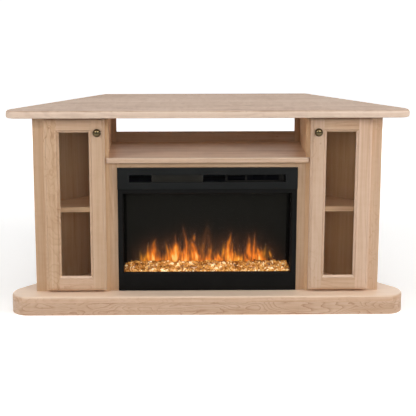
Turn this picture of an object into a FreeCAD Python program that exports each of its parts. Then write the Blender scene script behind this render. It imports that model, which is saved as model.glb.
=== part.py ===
import FreeCAD, Part
import math
import os
import re

import Sketcher
from FreeCAD import Vector

# Corner fireplace: a maple media cabinet for a room corner, with a glazed door each side and an
# electric firebox in the middle.  Row frame: X to the right, the front faces -Y, Z up, and the
# origin under the middle of the whole piece, on the floor.
# Formulas below measure x from the middle plane, y back from the front edge of the top, and z from
# the floor.

SIZES = {
    # the whole piece and its top
    "overall_depth": 384,
    "overall_height": 760,
    "top_thickness": 26,
    "top_corner_radius": 37,
    "back_corner_radius": 6,
    "upper_round": 9,
    "lower_round": 5,
    # the plinth
    "plinth_back_inset": 4,
    "plinth_height": 70,
    "plinth_board_thickness": 22,
    "plinth_corner_radius": 63,
    "plinth_rail_width": 64,
    # the carcass
    "top_overhang": 89,
    "top_back_overhang": 25,
    "face_setback": 68,
    "face_thickness": 21,
    "board_thickness": 19,
    "back_sheet": 6,
    "end_panel_depth": 41,
    "divider_back_offset": 14,
    "outer_stile_width": 59,
    "inner_stile_width": 26,
    "inner_stile_lap": 4,
    "edge_ease": 1.5,
    # the frame at the back of the media bay
    "rear_stile_width": 18,
    "rear_thickness": 19,
    "rear_sill_share": 0.242,
    "rear_rail_drop": 32,
    "rear_top_rail_share": 0.287,
    "cord_hole_size": 60,
    "cord_hole_side": 60,
    # the shelves
    "shelf_thickness": 19,
    "nosing_depth": 12,
    "nosing_lap": 10,
    "nosing_round": 4,
    "cabinet_shelf_height": 382,
    "cabinet_shelf_thickness": 18,
    "cabinet_shelf_setback": 11,
    "shelf_play": 0.8,
    "pin_radius": 2.5,
    "pin_length": 18,
    "pin_depth": 9,
    "pin_play": 0.05,
    "pin_front_inset": 20,
    "end_pin_inset": 4.5,
    "divider_pin_spread": 90,
    "end_pin_spread": 14,
    # the surround of the firebox
    "surround_thickness": 16,
    "surround_recess": 5,
    "surround_strip": 38,
    "surround_head": 28,
    "insert_play": 3,
    # the doors
    "inner_reveal": 13,
    "door_width": 221,
    "door_reveal": 40,
    "door_thickness": 20,
    "door_floor_gap": 8.5,
    "door_top_gap": 4,
    "door_face_gap": 1.5,
    "door_stile_width": 57,
    "door_bottom_rail": 55,
    "door_top_rail": 56,
    "bead_width": 9,
    "bead_depth": 6,
    "bevel_width": 8,
    "bevel_depth": 4,
    "glass_seat": 10,
    "glass_rebate": 8,
    "glass_thickness": 4,
    "glass_play": 0.5,
    "knob_radius": 15,
    "knob_length": 24,
    "knob_inset": 26.5,
    "knob_drop": 55.5,
    "knob_stud_radius": 2,
    "knob_stud_depth": 14,
    "knob_stud_play": 0.05,
    "knob_bore_spare": 0.5,
    "hinge_inset": 23,
    "hinge_end": 90,
    "cup_radius": 17.5,
    "cup_depth": 11.5,
    "cup_flange": 1,
    "cup_play": 0.1,
    "ear_width": 16,
    "ear_reach": 26,
    "arm_thickness": 4.5,
    "arm_length": 9,
    "arm_half_height": 6,
    "plate_thickness": 1.5,
    "plate_half_height": 16,
    "plate_setback": 2,
    "hook_thickness": 3.5,
    "hook_setback": 12,
    # the wood screws through the plinth board
    "screw_radius": 2,
    "screw_head_radius": 4,
    "screw_length": 50,
    "screw_play": 0.05,
    # the firebox
    "frame_side_lap": 7,
    "frame_top_lap": 9,
    "insert_floor_gap": 2,
    "frame_thickness": 8,
    "window_side": 20,
    "window_bottom": 67,
    "window_top": 18,
    "band_height": 80,
    "band_proud": 3,
    "band_side": 1,
    "slot_side": 43,
    "slot_height": 28,
    "slot_rise": 26,
    "shell_width": 636,
    "shell_height": 457,
    "shell_depth": 215,
    "steel": 1.5,
    "heater_space": 75,
    "front_glass_thickness": 4,
    "front_glass_lap": 6,
    "frame_ease": 1,
    "window_flare": 3,
    "window_flare_depth": 4,
    "tray_gap": 3,
    "inner_play": 0.3,
    "screen_setback": 118,
    "screen_thickness": 3,
    "tray_height": 68,
    "tray_wall": 2,
    "ember_depth": 12,
    "ember_trough": 2,
    "ember_crest": 5,
    "rod_radius": 3,
    "rod_setback": 155,
    "rod_rise": 58,
    "rod_play": 0.06,
    "rod_grip": 6,
    "rod_end_gap": 2,
    "bush_radius": 9,
    "bush_length": 12,
    "paddle_reach": 18,
    "paddle_width": 16,
    "paddle_thickness": 1.2,
    "motor_radius": 25,
    "motor_length": 18,
    "motor_foot_half": 15,
    "blower_radius": 20,
    "blower_side": 85,
    "blower_right": 20,
    "blower_setback": 75,
    "blower_shaft_radius": 2.5,
    "blower_lift": 6,
    "fan_disc": 2,
    "blade_depth": 7,
    "blade_thickness": 0.8,
    "blade_inset": 0.5,
    "bracket_sheet": 2,
    "bracket_gap": 3,
    "grille_setback": 11,
    "grille_thickness": 1.5,
    "heater_setback": 22,
    "heater_depth": 16,
    "fin_thickness": 1,
    "element_rail": 2,
    "fin_root": 1,
    "grille_margin": 4,
    "grille_bar": 4,
    "panel_rise": 2,
    "panel_side_gap": 3,
    "panel_length": 216,
    "panel_thickness": 3,
    "button_one_share": 0.55,
    "button_two_share": 0.8,
    "button_width": 42,
    "button_height": 14,
    "button_proud": 2.5,
    "button_play": 0.3,
    "collar_thickness": 1.5,
    "collar_gap": 0.2,
    "gland_radius": 9,
    "gland_length": 14,
    "gland_flange": 3,
    "gland_nose_radius": 6.75,
    "gland_spigot_radius": 6.3,
    "lead_radius": 3.8,
    # how far a cutting tool runs past the piece it cuts
    "overcut": 1,
}

# Places that several pieces share, worked out from the sizes.
PLACES = {
    "front": "0 - overall_depth / 2",
    "top_underside": "overall_height - top_thickness",
    "top_corner": "overall_half + top_corner_radius * sqrt(2)",
    "plinth_corner": "overall_half + plinth_corner_radius * sqrt(2)",
    "plinth_depth": "overall_depth - plinth_back_inset",
    "plinth_rail_height": "plinth_height - plinth_board_thickness",
    "carcass_height": "top_underside - plinth_height",
    "carcass_half": "door_outer + door_reveal",
    "overall_half": "carcass_half + top_overhang",
    "carcass_front": "face_setback + face_thickness",
    "carcass_back": "overall_depth - top_back_overhang",
    "surround_inner": "shell_width / 2 + insert_play",
    "stile_inner": "surround_inner + surround_strip",
    "bay_half": "stile_inner + inner_stile_lap",
    "divider_outer": "bay_half + board_thickness",
    "end_inner": "carcass_half - board_thickness",
    "end_back": "carcass_front + end_panel_depth",
    "divider_back": "carcass_back - divider_back_offset",
    "back_slope": "(divider_back - end_back) / (carcass_half - bay_half)",
    "back_at_divider": "divider_back - back_slope * board_thickness",
    "back_at_end": "end_back + back_slope * board_thickness",
    "sheet_shift": "back_sheet * sqrt(1 + back_slope * back_slope)",
    "rear_front": "carcass_back - rear_thickness",
    "window_half": "bay_half - rear_stile_width",
    "surround_top": "plinth_height + shell_height + insert_play",
    "shelf_underside": "surround_top + surround_head",
    "shelf_height": "shelf_underside + shelf_thickness",
    "bay_height": "top_underside - shelf_height",
    "rear_sill": "bay_height * rear_sill_share",
    "rear_top_rail_height": "bay_height * rear_top_rail_share",
    "cabinet_shelf_underside": "cabinet_shelf_height - cabinet_shelf_thickness",
    "cabinet_shelf_front": "carcass_front + cabinet_shelf_setback",
    "pin_height": "cabinet_shelf_underside - pin_radius",
    "surround_front": "face_setback + surround_recess",
    "door_inner": "stile_inner + inner_reveal",
    "door_outer": "door_inner + door_width",
    "door_back": "face_setback - door_face_gap",
    "door_front": "door_back - door_thickness",
    "door_bottom": "plinth_height + door_floor_gap",
    "door_top": "top_underside - door_top_gap",
    "opening_left": "door_inner + door_stile_width",
    "opening_right": "door_outer - door_stile_width",
    "opening_bottom": "door_bottom + door_bottom_rail",
    "opening_top": "door_top - door_top_rail",
    "knob_x": "door_inner + knob_inset",
    "knob_z": "door_top - knob_drop",
    "hinge_x": "door_outer - hinge_inset",
    "insert_half": "surround_inner + frame_side_lap",
    "insert_bottom": "plinth_height + insert_floor_gap",
    "insert_top": "surround_top + frame_top_lap",
    "band_bottom": "insert_top - band_height",
    "frame_back": "surround_front",
    "frame_front": "frame_back - frame_thickness",
    "window_edge": "insert_half - window_side",
    "window_low": "insert_bottom + window_bottom",
    "window_high": "band_bottom - window_top",
    "slot_half": "insert_half - slot_side",
    "slot_low": "band_bottom + slot_rise",
    "slot_high": "slot_low + slot_height",
    "shell_half": "shell_width / 2",
    "chamber_floor": "plinth_height + steel",
    "chamber_top": "plinth_height + shell_height - heater_space",
    "heater_floor": "chamber_top + steel",
    "tray_front": "frame_back + front_glass_thickness + tray_gap",
    "screen_front": "frame_back + screen_setback",
    "tray_top": "chamber_floor + tray_height",
    "rod_y": "frame_back + rod_setback",
    "rod_z": "chamber_floor + rod_rise",
    "blower_y": "frame_back + blower_setback",
    "blower_z": "heater_floor + blower_radius + blower_lift",
    "grille_front": "frame_back + grille_setback",
    "slot_middle": "slot_low + slot_height / 2",
    "element_low": "slot_low + element_rail",
    "element_high": "slot_high - element_rail",
    "panel_right": "slot_half - panel_side_gap",
    "panel_left": "panel_right - panel_length",
    "button_one": "panel_left + panel_length * button_one_share",
    "button_two": "panel_left + panel_length * button_two_share",
    "shell_inner": "shell_half - steel",
    "shell_back": "frame_back + shell_depth",
    "motor_face": "motor_length - shell_inner",
    "bush_face": "shell_inner - bush_length",
    "blower_left": "slot_half - blower_side",
    "blower_length": "blower_left - blower_right",
    "fan_left": "0 - blower_left",
    "fan_right": "0 - blower_right",
    "gland_x": "window_half - cord_hole_side - cord_hole_size / 2",
    "gland_z": "plinth_height + cord_hole_size / 2",
    "stile_edge": "carcass_half - outer_stile_width",
}

AXES = {"X": Vector(1, 0, 0), "Y": Vector(0, 1, 0), "Z": Vector(0, 0, 1)}
TOUCH = 0.01
PARALLEL = 0.999
START_SPREAD = 100

doc = FreeCAD.newDocument("CornerFireplace")
sheet = doc.addObject("Spreadsheet::Sheet", "Sizes")
for row, (alias, size) in enumerate(SIZES.items(), start=1):
    sheet.set(f"A{row}", alias)
    sheet.set(f"B{row}", str(size))
    sheet.setAlias(f"B{row}", alias)
doc.recompute()

nodes = []


def formula(text):
    """Write a formula of sizes and places in the sheet's own cells."""

    def swap(match):
        word = match.group(0)
        if word in SIZES:
            return "Sizes." + word
        if word in PLACES:
            return "(" + formula(PLACES[word]) + ")"
        return word

    return re.sub(r"[a-z][a-z_]*", swap, str(text))


def bind(thing, **sizes):
    """Bind properties of an object to formulas, given by property name."""
    for prop, text in sizes.items():
        thing.setExpression(prop, formula(text))
    return thing


def place(thing, x="0", y="0", z="0"):
    """Bind an object's place, with y measured back from the front edge of the top."""
    thing.setExpression("Placement.Base.x", formula(x))
    thing.setExpression("Placement.Base.y", formula(f"front + ({y})"))
    thing.setExpression("Placement.Base.z", formula(z))
    return thing


def node(thing):
    """Mark an object as a finished piece."""
    nodes.append(thing)
    return thing


def mirrored(source):
    """Make the left-hand copy of a right-hand piece."""
    copy = doc.addObject("Part::Mirroring", source.Label.replace("right", "left"))
    copy.Source = source
    copy.Normal = Vector(1, 0, 0)
    return copy


def pair(source):
    """Finish a right-hand piece and its left-hand copy."""
    return node(source), node(mirrored(source))


def sketch_polygon(body, name, plane, corners):
    """A closed outline whose corners are bound to formulas from the body's origin."""
    sketch = body.newObject("Sketcher::SketchObject", name)
    origin = next(item for item in body.Origin.OriginFeatures if item.Role == plane)
    sketch.AttachmentSupport = (origin, [""])
    sketch.MapMode = "FlatFace"
    count = len(corners)
    turns = [2 * math.pi * index / count for index in range(count)]
    start = [Vector(START_SPREAD * math.cos(turn), START_SPREAD * math.sin(turn), 0) for turn in turns]
    for index in range(count):
        sketch.addGeometry(Part.LineSegment(start[index], start[(index + 1) % count]))
    for index in range(count):
        sketch.addConstraint(Sketcher.Constraint("Coincident", index, 2, (index + 1) % count, 1))
    for index, (across, along) in enumerate(corners):
        for kind, text, guess in (
            ("DistanceX", across, start[index].x),
            ("DistanceY", along, start[index].y),
        ):
            number = sketch.addConstraint(Sketcher.Constraint(kind, -1, 1, index, 1, guess))
            sketch.setExpression(f"Constraints[{number}]", formula(text))
    return sketch


def prism(name, plane, corners, length):
    """A body padded from an outline: up from the plan, or back from the elevation."""
    body = doc.addObject("PartDesign::Body", name)
    sketch = sketch_polygon(body, name + "_outline", plane, corners)
    doc.recompute()
    pad = body.newObject("PartDesign::Pad", name + "_pad")
    pad.Profile = sketch
    pad.Reversed = plane == "XZ_Plane"
    bind(pad, Length=length)
    sketch.Visibility = False
    doc.recompute()
    return body


def rounded(body, radius, chosen):
    """Round the edges of a body for which chosen(edge) holds."""
    base = body.Tip
    names = [f"Edge{index}" for index, edge in enumerate(base.Shape.Edges, start=1) if chosen(edge)]
    feature = body.newObject("PartDesign::Fillet", f"{body.Name}_round_{len(body.Group)}")
    feature.Base = (base, names)
    bind(feature, Radius=radius)
    doc.recompute()
    return body


def runs_along(edge, axis):
    """Whether an edge is straight and parallel to an axis."""
    if not isinstance(edge.Curve, (Part.Line, Part.LineSegment)):
        return False
    way = edge.Vertexes[1].Point.sub(edge.Vertexes[0].Point)
    way.normalize()
    return abs(way.dot(AXES[axis])) > PARALLEL


def at_height(edge, height):
    """Whether a whole edge lies at one height."""
    box = edge.BoundBox
    return abs(box.ZMin - height) < TOUCH and abs(box.ZMax - height) < TOUCH


def blank(name, low, high):
    """A plain box between two corners given as formulas."""
    box = doc.addObject("Part::Box", name)
    bind(box, Length=f"({high[0]}) - ({low[0]})")
    bind(box, Width=f"({high[1]}) - ({low[1]})")
    bind(box, Height=f"({high[2]}) - ({low[2]})")
    return place(box, *low)


def board(name, low, high, grain):
    """A sawn board with its long edges eased; grain is the axis it runs along."""
    body = doc.addObject("PartDesign::Body", name)
    box = body.newObject("PartDesign::AdditiveBox", name + "_stock")
    bind(box, Length=f"({high[0]}) - ({low[0]})")
    bind(box, Width=f"({high[1]}) - ({low[1]})")
    bind(box, Height=f"({high[2]}) - ({low[2]})")
    doc.recompute()
    rounded(body, "edge_ease", lambda edge: runs_along(edge, grain))
    return place(body, *low)


def cut(name, base, tool):
    """What is left of one object after another is taken away."""
    result = doc.addObject("Part::Cut", name)
    result.Base = base
    result.Tool = tool
    return result


def common(name, base, tool):
    """What two objects share."""
    result = doc.addObject("Part::Common", name)
    result.Base = base
    result.Tool = tool
    return result


def fuse(name, parts):
    """Several touching objects made into one solid."""
    result = doc.addObject("Part::MultiFuse", name)
    result.Shapes = parts
    return result


def group(name, parts):
    """Identical separate solids kept in one piece list entry."""
    result = doc.addObject("Part::Compound", name)
    result.Links = parts
    return result


def rod(name, axis, start, radius, length):
    """A round bar from a start point along an axis."""
    bar = doc.addObject("Part::Cylinder", name)
    bind(bar, Radius=radius, Height=length)
    turns = {"X": (Vector(0, 1, 0), 90), "Y": (Vector(1, 0, 0), -90), "Z": (Vector(0, 0, 1), 0)}
    turn_axis, angle = turns[axis]
    bar.Placement = FreeCAD.Placement(Vector(), FreeCAD.Rotation(turn_axis, angle))
    return place(bar, *start)


# ---------------------------------------------------------------- top and plinth


def corner_slab(name, corner, depth, radius, thickness):
    """A slab with a straight front, rounded front corners and sides at 45 degrees."""
    body = prism(
        name,
        "XY_Plane",
        [
            ("0", "0"),
            (f"2 * ({corner})", "0"),
            (f"2 * ({corner}) - ({depth})", depth),
            (depth, depth),
        ],
        thickness,
    )
    back = body.Shape.BoundBox.YMax - TOUCH
    rounded(body, radius, lambda edge: runs_along(edge, "Z") and edge.BoundBox.YMax < TOUCH)
    rounded(body, "back_corner_radius", lambda edge: runs_along(edge, "Z") and edge.BoundBox.YMin > back)
    return body


def make_top():
    top = corner_slab("top_panel", "top_corner", "overall_depth", "top_corner_radius", "top_thickness")
    rounded(top, "upper_round", lambda edge: at_height(edge, sheet.top_thickness))
    rounded(top, "lower_round", lambda edge: at_height(edge, 0))
    node(place(top, "0 - top_corner", "0", "top_underside"))


def make_plinth():
    half, width, depth = "plinth_corner", "plinth_rail_width", "plinth_depth"
    radius = "plinth_corner_radius"
    floor = corner_slab("plinth_board_blank", half, depth, radius, "plinth_board_thickness")
    rounded(floor, "upper_round", lambda edge: at_height(edge, sheet.plinth_board_thickness))
    place(floor, "0 - plinth_corner", "0", "plinth_rail_height")
    node(cut("plinth_board", floor, screw_holes()))
    ring = corner_slab("plinth_rail_blank", half, depth, radius, "plinth_rail_height")
    place(ring, "0 - plinth_corner")
    front_zone = blank("plinth_front_zone", (f"0 - {half}", "0", "0"), (half, width, "plinth_rail_height"))
    back_zone = blank(
        "plinth_back_zone", (f"0 - {half}", f"{depth} - {width}", "0"), (half, depth, "plinth_rail_height")
    )
    side_zone = prism(
        "plinth_side_zone",
        "XY_Plane",
        [
            (f"{half} - {width} - {width} * sqrt(2)", width),
            (half, width),
            (half, f"{depth} - {width}"),
            (f"{half} - {depth} + {width} - {width} * sqrt(2)", f"{depth} - {width}"),
        ],
        "plinth_rail_height",
    )
    place(side_zone)
    node(common("plinth_front_rail", ring, front_zone))
    node(common("plinth_back_rail", ring, back_zone))
    pair(common("plinth_side_rail_right", ring, side_zone))


# ---------------------------------------------------------------- screws through the plinth board

DIVIDER_SCREW_STEPS = (0.12, 0.5, 0.88)


def screw_spots():
    """Plan places of the right-hand screws: a row under the divider and one under the end panel."""
    row = "carcass_front + {step} * (back_at_divider - carcass_front)"
    spots = [("bay_half + board_thickness / 2", row.format(step=step)) for step in DIVIDER_SCREW_STEPS]
    spots.append(("carcass_half - board_thickness / 2", "carcass_front + end_panel_depth / 2"))
    return spots


def screw_holes():
    """All holes for the plinth screws, countersunk from below."""
    holes = []
    for index, (x, y) in enumerate(screw_spots()):
        shank = rod(
            f"screw_hole_{index}",
            "Z",
            (x, y, "plinth_rail_height"),
            "screw_radius + screw_play",
            "screw_length + screw_play",
        )
        sink = doc.addObject("Part::Cone", f"screw_sink_{index}")
        bind(
            sink,
            Radius1="screw_head_radius + screw_play",
            Radius2="screw_radius + screw_play",
            Height="screw_head_radius - screw_radius",
        )
        place(sink, x, y, "plinth_rail_height")
        holes.append(fuse(f"screw_bore_{index}", [shank, sink]))
    right = group("screw_bores_right", holes)
    return group("screw_bores", [right, mirrored(right)])


def make_screws():
    screws = []
    for index, (x, y) in enumerate(screw_spots()):
        spot = (x, y, "plinth_rail_height")
        shank = rod(f"screw_shank_{index}", "Z", spot, "screw_radius", "screw_length")
        head = doc.addObject("Part::Cone", f"screw_head_{index}")
        bind(
            head,
            Radius1="screw_head_radius",
            Radius2="screw_radius",
            Height="screw_head_radius - screw_radius",
        )
        place(head, *spot)
        screws.append(fuse(f"screw_{index}", [shank, head]))
    right = group("screws_right", screws)
    node(group("carcass_screws", [right, mirrored(right)]))


# ---------------------------------------------------------------- carcass


def pin_spots():
    """Places of the right-hand shelf pins: in the divider and in the end panel."""
    front_row = "cabinet_shelf_front + pin_front_inset"
    end_row = "cabinet_shelf_front + end_pin_inset"
    return [
        ("divider_outer - pin_depth", front_row),
        ("divider_outer - pin_depth", f"{front_row} + divider_pin_spread"),
        ("end_inner + pin_depth - pin_length", end_row),
        ("end_inner + pin_depth - pin_length", f"{end_row} + end_pin_spread"),
    ]


def pins(name, play):
    """The right-hand shelf pins, or the holes they go in."""
    return group(
        name,
        [
            rod(f"{name}_{index}", "X", (x, y, "pin_height"), f"pin_radius + {play}", "pin_length")
            for index, (x, y) in enumerate(pin_spots())
        ],
    )


def make_uprights():
    pin_holes = pins("pin_holes", "pin_play")
    bores = doc.screw_bores
    divider = prism(
        "divider_blank",
        "XY_Plane",
        [
            ("bay_half", "carcass_front"),
            ("divider_outer", "carcass_front"),
            ("divider_outer", "back_at_divider"),
            ("bay_half", "divider_back"),
        ],
        "carcass_height",
    )
    place(divider, z="plinth_height")
    pair(cut("divider_right", cut("divider_drilled", divider, pin_holes), bores))
    end = prism(
        "end_panel_blank",
        "XY_Plane",
        [
            ("end_inner", "carcass_front"),
            ("carcass_half", "carcass_front"),
            ("carcass_half", "end_back"),
            ("end_inner", "back_at_end"),
        ],
        "carcass_height",
    )
    place(end, z="plinth_height")
    pair(cut("end_panel_right", cut("end_panel_drilled", end, pin_holes), bores))
    sheet_panel = prism(
        "side_back_panel_right",
        "XY_Plane",
        [
            ("bay_half", "divider_back"),
            ("carcass_half", "end_back"),
            ("carcass_half", "end_back + sheet_shift"),
            ("bay_half", "divider_back + sheet_shift"),
        ],
        "carcass_height",
    )
    pair(place(sheet_panel, z="plinth_height"))


def make_face_frame():
    low, high = "plinth_height", "top_underside"
    pair(
        board(
            "outer_stile_right",
            ("carcass_half - outer_stile_width", "face_setback", low),
            ("carcass_half", "carcass_front", high),
            "Z",
        )
    )
    pair(
        board(
            "inner_stile_right",
            ("stile_inner", "face_setback", low),
            ("stile_inner + inner_stile_width", "carcass_front", high),
            "Z",
        )
    )


def make_surround():
    surround = prism(
        "firebox_surround",
        "XZ_Plane",
        [
            ("0", "0"),
            ("stile_inner - surround_inner", "0"),
            ("stile_inner - surround_inner", "surround_top - plinth_height"),
            ("stile_inner + surround_inner", "surround_top - plinth_height"),
            ("stile_inner + surround_inner", "0"),
            ("2 * stile_inner", "0"),
            ("2 * stile_inner", "shelf_underside - plinth_height"),
            ("0", "shelf_underside - plinth_height"),
        ],
        "surround_thickness",
    )
    node(place(surround, "0 - stile_inner", "surround_front", "plinth_height"))


def make_media_shelf():
    shelf = prism(
        "media_shelf",
        "XY_Plane",
        [
            ("inner_stile_lap", "face_setback"),
            ("inner_stile_lap + 2 * stile_inner", "face_setback"),
            ("inner_stile_lap + 2 * stile_inner", "carcass_front"),
            ("2 * bay_half", "carcass_front"),
            ("2 * bay_half", "rear_front"),
            ("0", "rear_front"),
            ("0", "carcass_front"),
            ("inner_stile_lap", "carcass_front"),
        ],
        "shelf_thickness",
    )
    node(place(shelf, "0 - bay_half", z="shelf_underside"))
    nosing = doc.addObject("PartDesign::Body", "shelf_nosing")
    strip = nosing.newObject("PartDesign::AdditiveBox", "shelf_nosing_stock")
    bind(strip, Length="2 * (stile_inner + nosing_lap)", Width="nosing_depth", Height="shelf_thickness")
    doc.recompute()
    rounded(nosing, "nosing_round", lambda edge: edge.BoundBox.YMax < TOUCH)
    node(place(nosing, "0 - stile_inner - nosing_lap", "face_setback - nosing_depth", "shelf_underside"))


def make_rear_frame():
    pair(
        board(
            "rear_stile_right",
            ("window_half", "rear_front", "plinth_height"),
            ("bay_half", "carcass_back", "top_underside"),
            "Z",
        )
    )
    rails = (
        ("rear_shelf_rail", "shelf_height - rear_rail_drop", "shelf_height + rear_sill"),
        ("rear_top_rail", "top_underside - rear_top_rail_height", "top_underside"),
    )
    for name, low, high in rails:
        start = ("0 - window_half", "rear_front", low)
        node(board(name, start, ("window_half", "carcass_back", high), "X"))
    sheet_blank = blank(
        "back_panel_blank",
        ("0 - window_half", "carcass_back - back_sheet", "plinth_height"),
        ("window_half", "carcass_back", "shelf_height - rear_rail_drop"),
    )
    cord_hole = blank(
        "cord_hole",
        (
            "window_half - cord_hole_side - cord_hole_size",
            "carcass_back - 2 * back_sheet",
            "plinth_height - overcut",
        ),
        (
            "window_half - cord_hole_side",
            "carcass_back + back_sheet",
            "plinth_height + cord_hole_size",
        ),
    )
    node(cut("back_panel", sheet_blank, cord_hole))


def make_cabinet_shelves():
    shelf = prism(
        "cabinet_shelf_right",
        "XY_Plane",
        [
            ("divider_outer + shelf_play", "cabinet_shelf_front"),
            ("end_inner - shelf_play", "cabinet_shelf_front"),
            ("end_inner - shelf_play", "back_at_end - shelf_play + back_slope * shelf_play"),
            ("divider_outer + shelf_play", "back_at_divider - shelf_play - back_slope * shelf_play"),
        ],
        "cabinet_shelf_thickness",
    )
    pair(place(shelf, z="cabinet_shelf_underside"))
    right = pins("shelf_pins_right", "0")
    node(group("shelf_pins", [right, mirrored(right)]))


# ---------------------------------------------------------------- doors


def tapered(name, low, high, inset, depth):
    """A block whose front face, over the first depth, is inset all round (or flared, if negative)."""
    wedge = doc.addObject("Part::Wedge", name + "_wedge")
    bind(
        wedge,
        Xmin=inset,
        Zmin=inset,
        Xmax=f"({high[0]}) - ({low[0]}) - ({inset})",
        Zmax=f"({high[2]}) - ({low[2]}) - ({inset})",
        X2min="0",
        Z2min="0",
        X2max=f"({high[0]}) - ({low[0]})",
        Z2max=f"({high[2]}) - ({low[2]})",
        Ymin="0",
        Ymax=depth,
    )
    place(wedge, *low)
    back = blank(name + "_back", (low[0], f"{low[1]} + {depth}", low[2]), high)
    return fuse(name, [wedge, back])


def make_door_blank():
    """The whole door frame as one bevelled ring, before it is divided into stiles and rails."""
    outer = tapered(
        "door_slab",
        ("door_inner", "door_front", "door_bottom"),
        ("door_outer", "door_back", "door_top"),
        "bevel_width",
        "bevel_depth",
    )
    opening = tapered(
        "door_opening",
        ("opening_left", "door_front", "opening_bottom"),
        ("opening_right", "door_back + overcut", "opening_top"),
        "0 - bead_width",
        "bead_depth",
    )
    rebate = blank(
        "glass_rebate_cut",
        ("opening_left - glass_rebate", "door_front + glass_seat", "opening_bottom - glass_rebate"),
        ("opening_right + glass_rebate", "door_back + overcut", "opening_top + glass_rebate"),
    )
    return cut("door_ring", outer, fuse("door_hole", [opening, rebate]))


def stile_zone(name, edge, joint, opening):
    """Front view of a stile: full height, with the bead mitred into the rails."""
    return prism(
        name,
        "XZ_Plane",
        [
            (edge, "door_bottom"),
            (joint, "door_bottom"),
            (joint, "opening_bottom - bead_width"),
            (opening, "opening_bottom"),
            (opening, "opening_top"),
            (joint, "opening_top + bead_width"),
            (joint, "door_top"),
            (edge, "door_top"),
        ],
        "door_thickness",
    )


def rail_zone(name, edge, joint, opening):
    """Front view of a rail: between the stiles, with the bead mitred into them."""
    return prism(
        name,
        "XZ_Plane",
        [
            ("opening_left - bead_width", edge),
            ("opening_right + bead_width", edge),
            ("opening_right + bead_width", joint),
            ("opening_right", opening),
            ("opening_left", opening),
            ("opening_left - bead_width", joint),
        ],
        "door_thickness",
    )


def make_doors():
    ring = make_door_blank()
    zones = {
        "door_hinge_stile_right": stile_zone(
            "hinge_stile_zone", "door_outer", "opening_right + bead_width", "opening_right"
        ),
        "door_knob_stile_right": stile_zone(
            "knob_stile_zone", "door_inner", "opening_left - bead_width", "opening_left"
        ),
        "door_top_rail_right": rail_zone(
            "top_rail_zone", "door_top", "opening_top + bead_width", "opening_top"
        ),
        "door_bottom_rail_right": rail_zone(
            "bottom_rail_zone", "door_bottom", "opening_bottom - bead_width", "opening_bottom"
        ),
    }
    holes = {
        "door_hinge_stile_right": group("cup_bores", hinge_cups("cup_bore", "cup_play", "0")),
        "door_knob_stile_right": rod(
            "knob_hole",
            "Y",
            ("knob_x", "door_front", "knob_z"),
            "knob_stud_radius + knob_stud_play",
            "knob_stud_depth + knob_bore_spare",
        ),
    }
    for name, zone in zones.items():
        place(zone, y="door_front")
        if name in holes:
            pair(cut(name, common(name + "_blank", ring, zone), holes[name]))
        else:
            pair(common(name, ring, zone))
    pane = blank(
        "door_glass_right",
        (
            "opening_left - glass_rebate + glass_play",
            "door_front + glass_seat",
            "opening_bottom - glass_rebate + glass_play",
        ),
        (
            "opening_right + glass_rebate - glass_play",
            "door_front + glass_seat + glass_thickness",
            "opening_top + glass_rebate - glass_play",
        ),
    )
    pair(pane)


def make_knobs():
    """A turned brass knob: foot, neck, rolled rim and a raised face, with its stud."""
    body = doc.addObject("PartDesign::Body", "knob_right")
    sketch = sketch_polygon(
        body,
        "knob_profile",
        "XY_Plane",
        [
            ("0", "0 - knob_length"),
            ("knob_radius * 0.5", "0 - knob_length"),
            ("knob_radius * 0.56", "0 - knob_length + 1.2"),
            ("knob_radius * 0.62", "0 - knob_length * 0.9"),
            ("knob_radius * 0.9", "0 - knob_length * 0.86"),
            ("knob_radius", "0 - knob_length * 0.72"),
            ("knob_radius * 0.94", "0 - knob_length * 0.55"),
            ("knob_radius * 0.6", "0 - knob_length * 0.42"),
            ("knob_radius * 0.36", "0 - knob_length * 0.28"),
            ("knob_radius * 0.4", "0 - knob_length * 0.12"),
            ("knob_radius * 0.6", "0 - knob_length * 0.08"),
            ("knob_radius * 0.6", "0"),
            ("knob_stud_radius", "0"),
            ("knob_stud_radius", "knob_stud_depth"),
            ("0", "knob_stud_depth"),
        ],
    )
    doc.recompute()
    turned = body.newObject("PartDesign::Revolution", "knob_turning")
    turned.Profile = sketch
    turned.ReferenceAxis = (sketch, ["V_Axis"])
    turned.Angle = 360
    doc.recompute()
    pair(place(body, "knob_x", "door_front", "knob_z"))


def hinge_heights():
    return ("door_bottom + hinge_end", "door_top - hinge_end")


def hinge_cups(name, play, flange):
    """Two hinge cups let into the back of the right-hand door."""
    cups = []
    for index, z in enumerate(hinge_heights()):
        cups.append(
            rod(
                f"{name}_{index}",
                "Y",
                ("hinge_x", f"door_back - cup_depth - {play}", z),
                f"cup_radius + {play}",
                f"cup_depth + {play} + {flange}",
            )
        )
    return cups


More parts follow.
